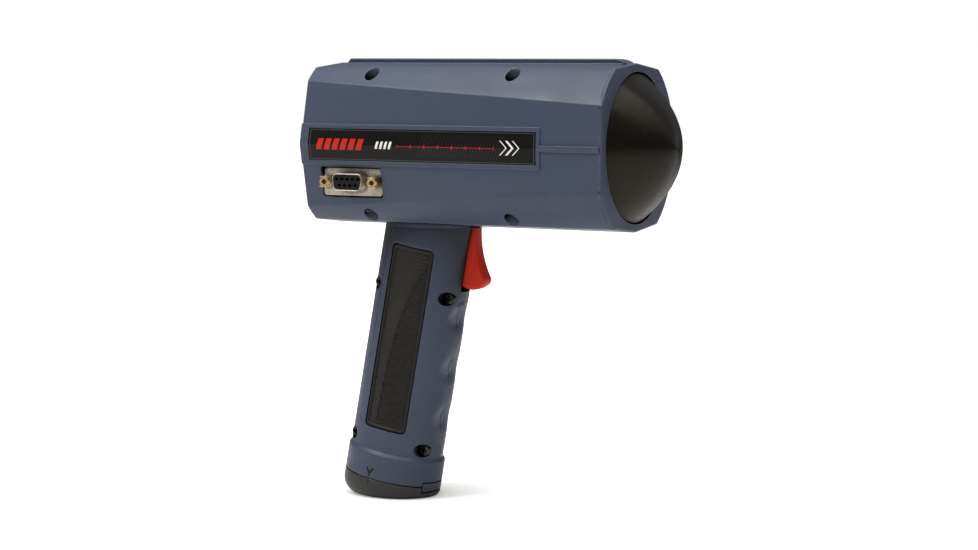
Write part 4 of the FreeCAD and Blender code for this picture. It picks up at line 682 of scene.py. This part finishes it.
# ---------------------------------------------------------------- marks, base, port and rear
def raised_mark(name, node, slot, outlines, place, thickness, frame_of=BARREL):
    """Thin raised shapes: place(u, v, depth) puts outline points in a local frame."""
    bm = bmesh.new()
    for outline in outlines:
        flat = bmesh.new()
        flat.faces.new([flat.verts.new((u, v, 0)) for u, v in outline])
        bmesh.ops.triangulate(flat, faces=flat.faces)
        bmesh.ops.subdivide_edges(flat, edges=flat.edges, cuts=2, use_grid_fill=True)
        region = bmesh.ops.extrude_face_region(flat, geom=flat.faces)
        for item in region["geom"]:
            if isinstance(item, bmesh.types.BMVert):
                item.co.z = thickness
        part = bpy.data.meshes.new("part")
        flat.to_mesh(part)
        flat.free()
        bm.from_mesh(part)
        bpy.data.meshes.remove(part)
    for vert in bm.verts:
        vert.co = place(*vert.co)
    bmesh.ops.remove_doubles(bm, verts=bm.verts, dist=1e-5)
    return publish(bm, name, node, frame_of, smooth=False, mark=slot)


def polygon(sides, radius, u=0.0, v=0.0, turn=0.0):
    """Corners of a regular polygon."""
    angles = [turn + 2 * math.pi * i / sides for i in range(sides)]
    return [(u + radius * math.cos(angle), v + radius * math.sin(angle)) for angle in angles]


def bar(u, v, half_u, half_v):
    """Corners of a rectangle."""
    return [(u - half_u, v - half_v), (u + half_u, v - half_v),
            (u + half_u, v + half_v), (u - half_u, v + half_v)]


COLLAR_A, COLLAR_B, COLLAR_CENTRE = 23.7, 19.7, -0.2


def on_collar(u, v, depth):
    """Point of the right side of the collar, or of the cap below it, sunk by a depth."""
    b = COLLAR_B + 0.05 - depth
    return Vector((u, -b * math.sqrt(1 - ((u - COLLAR_CENTRE) / COLLAR_A) ** 2), v))


ARROW = [(-4.9, 4.9), (-4.0, 5.0), (-2.6, 3.2), (-1.2, 5.0), (-0.3, 4.9),
         (-2.1, 2.2), (-2.3, 0.5), (-2.9, 0.5), (-2.9, 2.2)]
raised_mark("arrow_mark", "handle_right", "black_insulator", [ARROW], on_collar, 0.3, GRIP)
raised_mark("cap_mark", "battery_cap", "black_insulator", [bar(-2.5, -1.9, 0.25, 1.0)], on_collar,
            0.3, GRIP)
soften("battery_cap", 0.3, "base_cap")
soften("battery_latch", 0.3, "latch_tab")
soften("port_shell", 0.18, "plated_collar")
soften("port_insert", 0.1, "socket_insert")
soften("port_jackscrews", 0.2, "hex_jackscrews")


def key_front(middle):
    """Full rounding on the outer rim of a key, a touch elsewhere."""
    return 1.0 if (BARREL.inverted() @ middle).x < 0.6 else 0.15


KEY_FACE = 0.4
KEYS = {
    "key_power": (16, -12), "key_mode": (0, -12), "key_light": (-16, -12),
    "key_down": (16, -22.5), "key_menu": (0, -22.5), "key_up": (-16, -22.5),
}


def arc(inner, outer, start, step, count):
    """Open ring as a row of four-cornered pieces; angles are in degrees."""
    pieces = []
    for i in range(count):
        a, b = math.radians(start + step * i), math.radians(start + step * (i + 1))
        pieces.append([(radius * math.cos(angle), radius * math.sin(angle))
                       for radius, angle in ((outer, a), (inner, a), (inner, b), (outer, b))])
    return pieces


def rays(count, reach, radius):
    """Small diamonds round the middle."""
    turns = [2 * math.pi * i / count for i in range(count)]
    return [polygon(4, radius, reach * math.cos(turn), reach * math.sin(turn)) for turn in turns]


EMBLEMS = {
    "key_power": [bar(0, 1.3, 0.28, 0.95)] + arc(1.25, 1.75, 125, 24, 12),
    "key_mode": [bar(0, level, 2.2, 0.3) for level in (-1.3, 0, 1.3)],
    "key_light": [polygon(16, 1.0)] + rays(8, 2.0, 0.35),
    "key_down": [polygon(3, 1.9, 0, 0.3, -math.pi / 2)],
    "key_menu": [bar(0, 0, 1.3, 1.3)],
    "key_up": [polygon(3, 1.9, 0, -0.3, math.pi / 2)],
}
for key, (key_y, key_z) in KEYS.items():
    soften(key, 0.75, key + "_cap", fine=key_front, segments=4)
    raised_mark(key + "_emblem", key, "switch_plunger", EMBLEMS[key],
                lambda u, v, depth: Vector((KEY_FACE - 0.06 + depth, key_y - u, key_z + v)), 0.25)


# Seven-segment noughts over a row of level bars behind the window
DISPLAY_FACE, DIGIT_TALL, DIGIT_WIDE, STROKE = 4.3, 11.0, 6.4, 0.75
UPRIGHT_GAP, LEVEL_GAP = 0.25, 0.35


def zero(u, v):
    """The six lit segments of a nought whose middle is at a place."""
    tall, wide, tip = DIGIT_TALL / 2, DIGIT_WIDE / 2, STROKE
    low, high, end = UPRIGHT_GAP, tall - UPRIGHT_GAP, wide - LEVEL_GAP
    upright = [(0, low), (tip, low + tip), (tip, high - tip),
               (0, high), (-tip, high - tip), (-tip, low + tip)]
    level = [(-end, 0), (tip - end, tip), (end - tip, tip),
             (end, 0), (end - tip, -tip), (tip - end, -tip)]
    segments = [[(u + side * wide + x, v + flip * z) for x, z in upright]
                for side in (-1, 1) for flip in (-1, 1)]
    return segments + [[(u + x, v + flip * tall + z) for x, z in level] for flip in (-1, 1)]


readout = zero(-10, 12) + zero(0, 12) + zero(10, 12)
readout += [bar(-14 + 3.1 * i, 3.1, 1.0, 0.9) for i in range(5)]
raised_mark("readout", "display_module", "black_panel", readout,
            lambda u, v, depth: Vector((DISPLAY_FACE - 0.15 + depth, -u, v)), 0.14)

# ---------------------------------------------------------------- stage, light and camera
FLOOR_REACH = 6.0
floor_mesh = bpy.data.meshes.new("floor")
floor_bm = bmesh.new()
bmesh.ops.create_grid(floor_bm, x_segments=24, y_segments=24, size=FLOOR_REACH)
floor_bm.to_mesh(floor_mesh)
floor_bm.free()
floor = bpy.data.objects.new("floor", floor_mesh)
bpy.context.scene.collection.objects.link(floor)

# The floor glows to the camera so that it fades into the backdrop, and less close to the middle,
# where the shadow is
GLOW_NEAR, GLOW_FAR, GLOW_LEAST, GLOW_UNSEEN = 22, 90, 0.3, 0.08
paper = Finish("pale_floor", (0.82, 0.815, 0.8), 0.6)
paper_x, paper_y, _ = paper.axes()
from_middle = (paper_x * paper_x + paper_y * paper_y).math("SQRT")
far = from_middle.ramp(GLOW_NEAR, GLOW_FAR, GLOW_LEAST, 1.0)
paper.shader.inputs["Emission Color"].default_value = (1, 1, 1, 1)
paper_path = paper.tree.nodes.new("ShaderNodeLightPath")
seen_floor = Value(paper.tree, paper_path.outputs["Is Camera Ray"]).ramp(0, 1, GLOW_UNSEEN, 1.0)
paper.tree.links.new((far * seen_floor).socket, paper.shader.inputs["Emission Strength"])
paper.bump(paper.noise(0.8, 3.0), 0.02, 0.2)
floor.data.materials.append(paper.material)

world = bpy.data.worlds.new("studio")
bpy.context.scene.world = world
world.use_nodes = True
sky = world.node_tree.nodes["Background"]
sky.inputs["Color"].default_value = (1.0, 0.995, 0.985, 1)

# The sky lights the object from overhead, dim at the horizon; the camera sees an even backdrop
HORIZON, ZENITH, BACKDROP = 0.05, 0.55, 1.02
path = world.node_tree.nodes.new("ShaderNodeLightPath")
toward = world.node_tree.nodes.new("ShaderNodeTexCoord")
parts = world.node_tree.nodes.new("ShaderNodeSeparateXYZ")
world.node_tree.links.new(toward.outputs["Generated"], parts.inputs[0])
ambient = Value(world.node_tree, parts.outputs["Z"]).ramp(0.0, 0.9, HORIZON, ZENITH)
seen = Value(world.node_tree, path.outputs["Is Camera Ray"])
level = ambient + seen * (seen * BACKDROP - ambient)
world.node_tree.links.new(level.socket, sky.inputs["Strength"])


def soft_box(name, place, target, width, height, power, color):
    """Rectangular area light aimed at a point, in metres and watts."""
    lamp = bpy.data.lights.new(name, "AREA")
    lamp.shape = "RECTANGLE"
    lamp.size, lamp.size_y, lamp.energy, lamp.color = width, height, power, color
    item = bpy.data.objects.new(name, lamp)
    bpy.context.scene.collection.objects.link(item)
    item.location = place
    item.rotation_mode = "QUATERNION"
    item.rotation_quaternion = (Vector(target) - Vector(place)).to_track_quat("-Z", "Y")


soft_box("overhead", place=(0.1, -0.2, 1.5), target=(0.05, 0, 0.1), width=1.6, height=1.2,
         power=23, color=(1.0, 0.99, 0.97))
soft_box("left_box", place=(-0.72, -1.0, 1.45), target=(0.05, 0, 0.12), width=0.55, height=0.55,
         power=15, color=(1.0, 0.98, 0.96))

CAMERA_TARGET = Vector((51.35, 0, 105.27)) * MM
CAMERA_AZIMUTH, CAMERA_ELEVATION, CAMERA_ROLL = map(math.radians, (27.30, 4.83, 0.40))
CAMERA_DISTANCE, CAMERA_LENS, CAMERA_SENSOR = 1.0503, 84.36, 36.0
camera_data = bpy.data.cameras.new("camera")
camera_data.lens, camera_data.sensor_width = CAMERA_LENS, CAMERA_SENSOR
camera_data.clip_start, camera_data.clip_end = 0.05, 50
camera = bpy.data.objects.new("camera", camera_data)
bpy.context.scene.collection.objects.link(camera)
bpy.context.scene.camera = camera
back = Vector((math.sin(CAMERA_AZIMUTH) * math.cos(CAMERA_ELEVATION),
               -math.cos(CAMERA_AZIMUTH) * math.cos(CAMERA_ELEVATION), math.sin(CAMERA_ELEVATION)))
level_right = Vector((math.cos(CAMERA_AZIMUTH), math.sin(CAMERA_AZIMUTH), 0))
level_up = back.cross(level_right)
right = level_right * math.cos(CAMERA_ROLL) + level_up * math.sin(CAMERA_ROLL)
up = back.cross(right)
camera.matrix_world = Matrix.Translation(CAMERA_TARGET + back * CAMERA_DISTANCE) @ Matrix(
    (right, up, back)).transposed().to_4x4()

scene = bpy.context.scene
scene.view_settings.view_transform = "Standard"
scene.view_settings.look = "None"
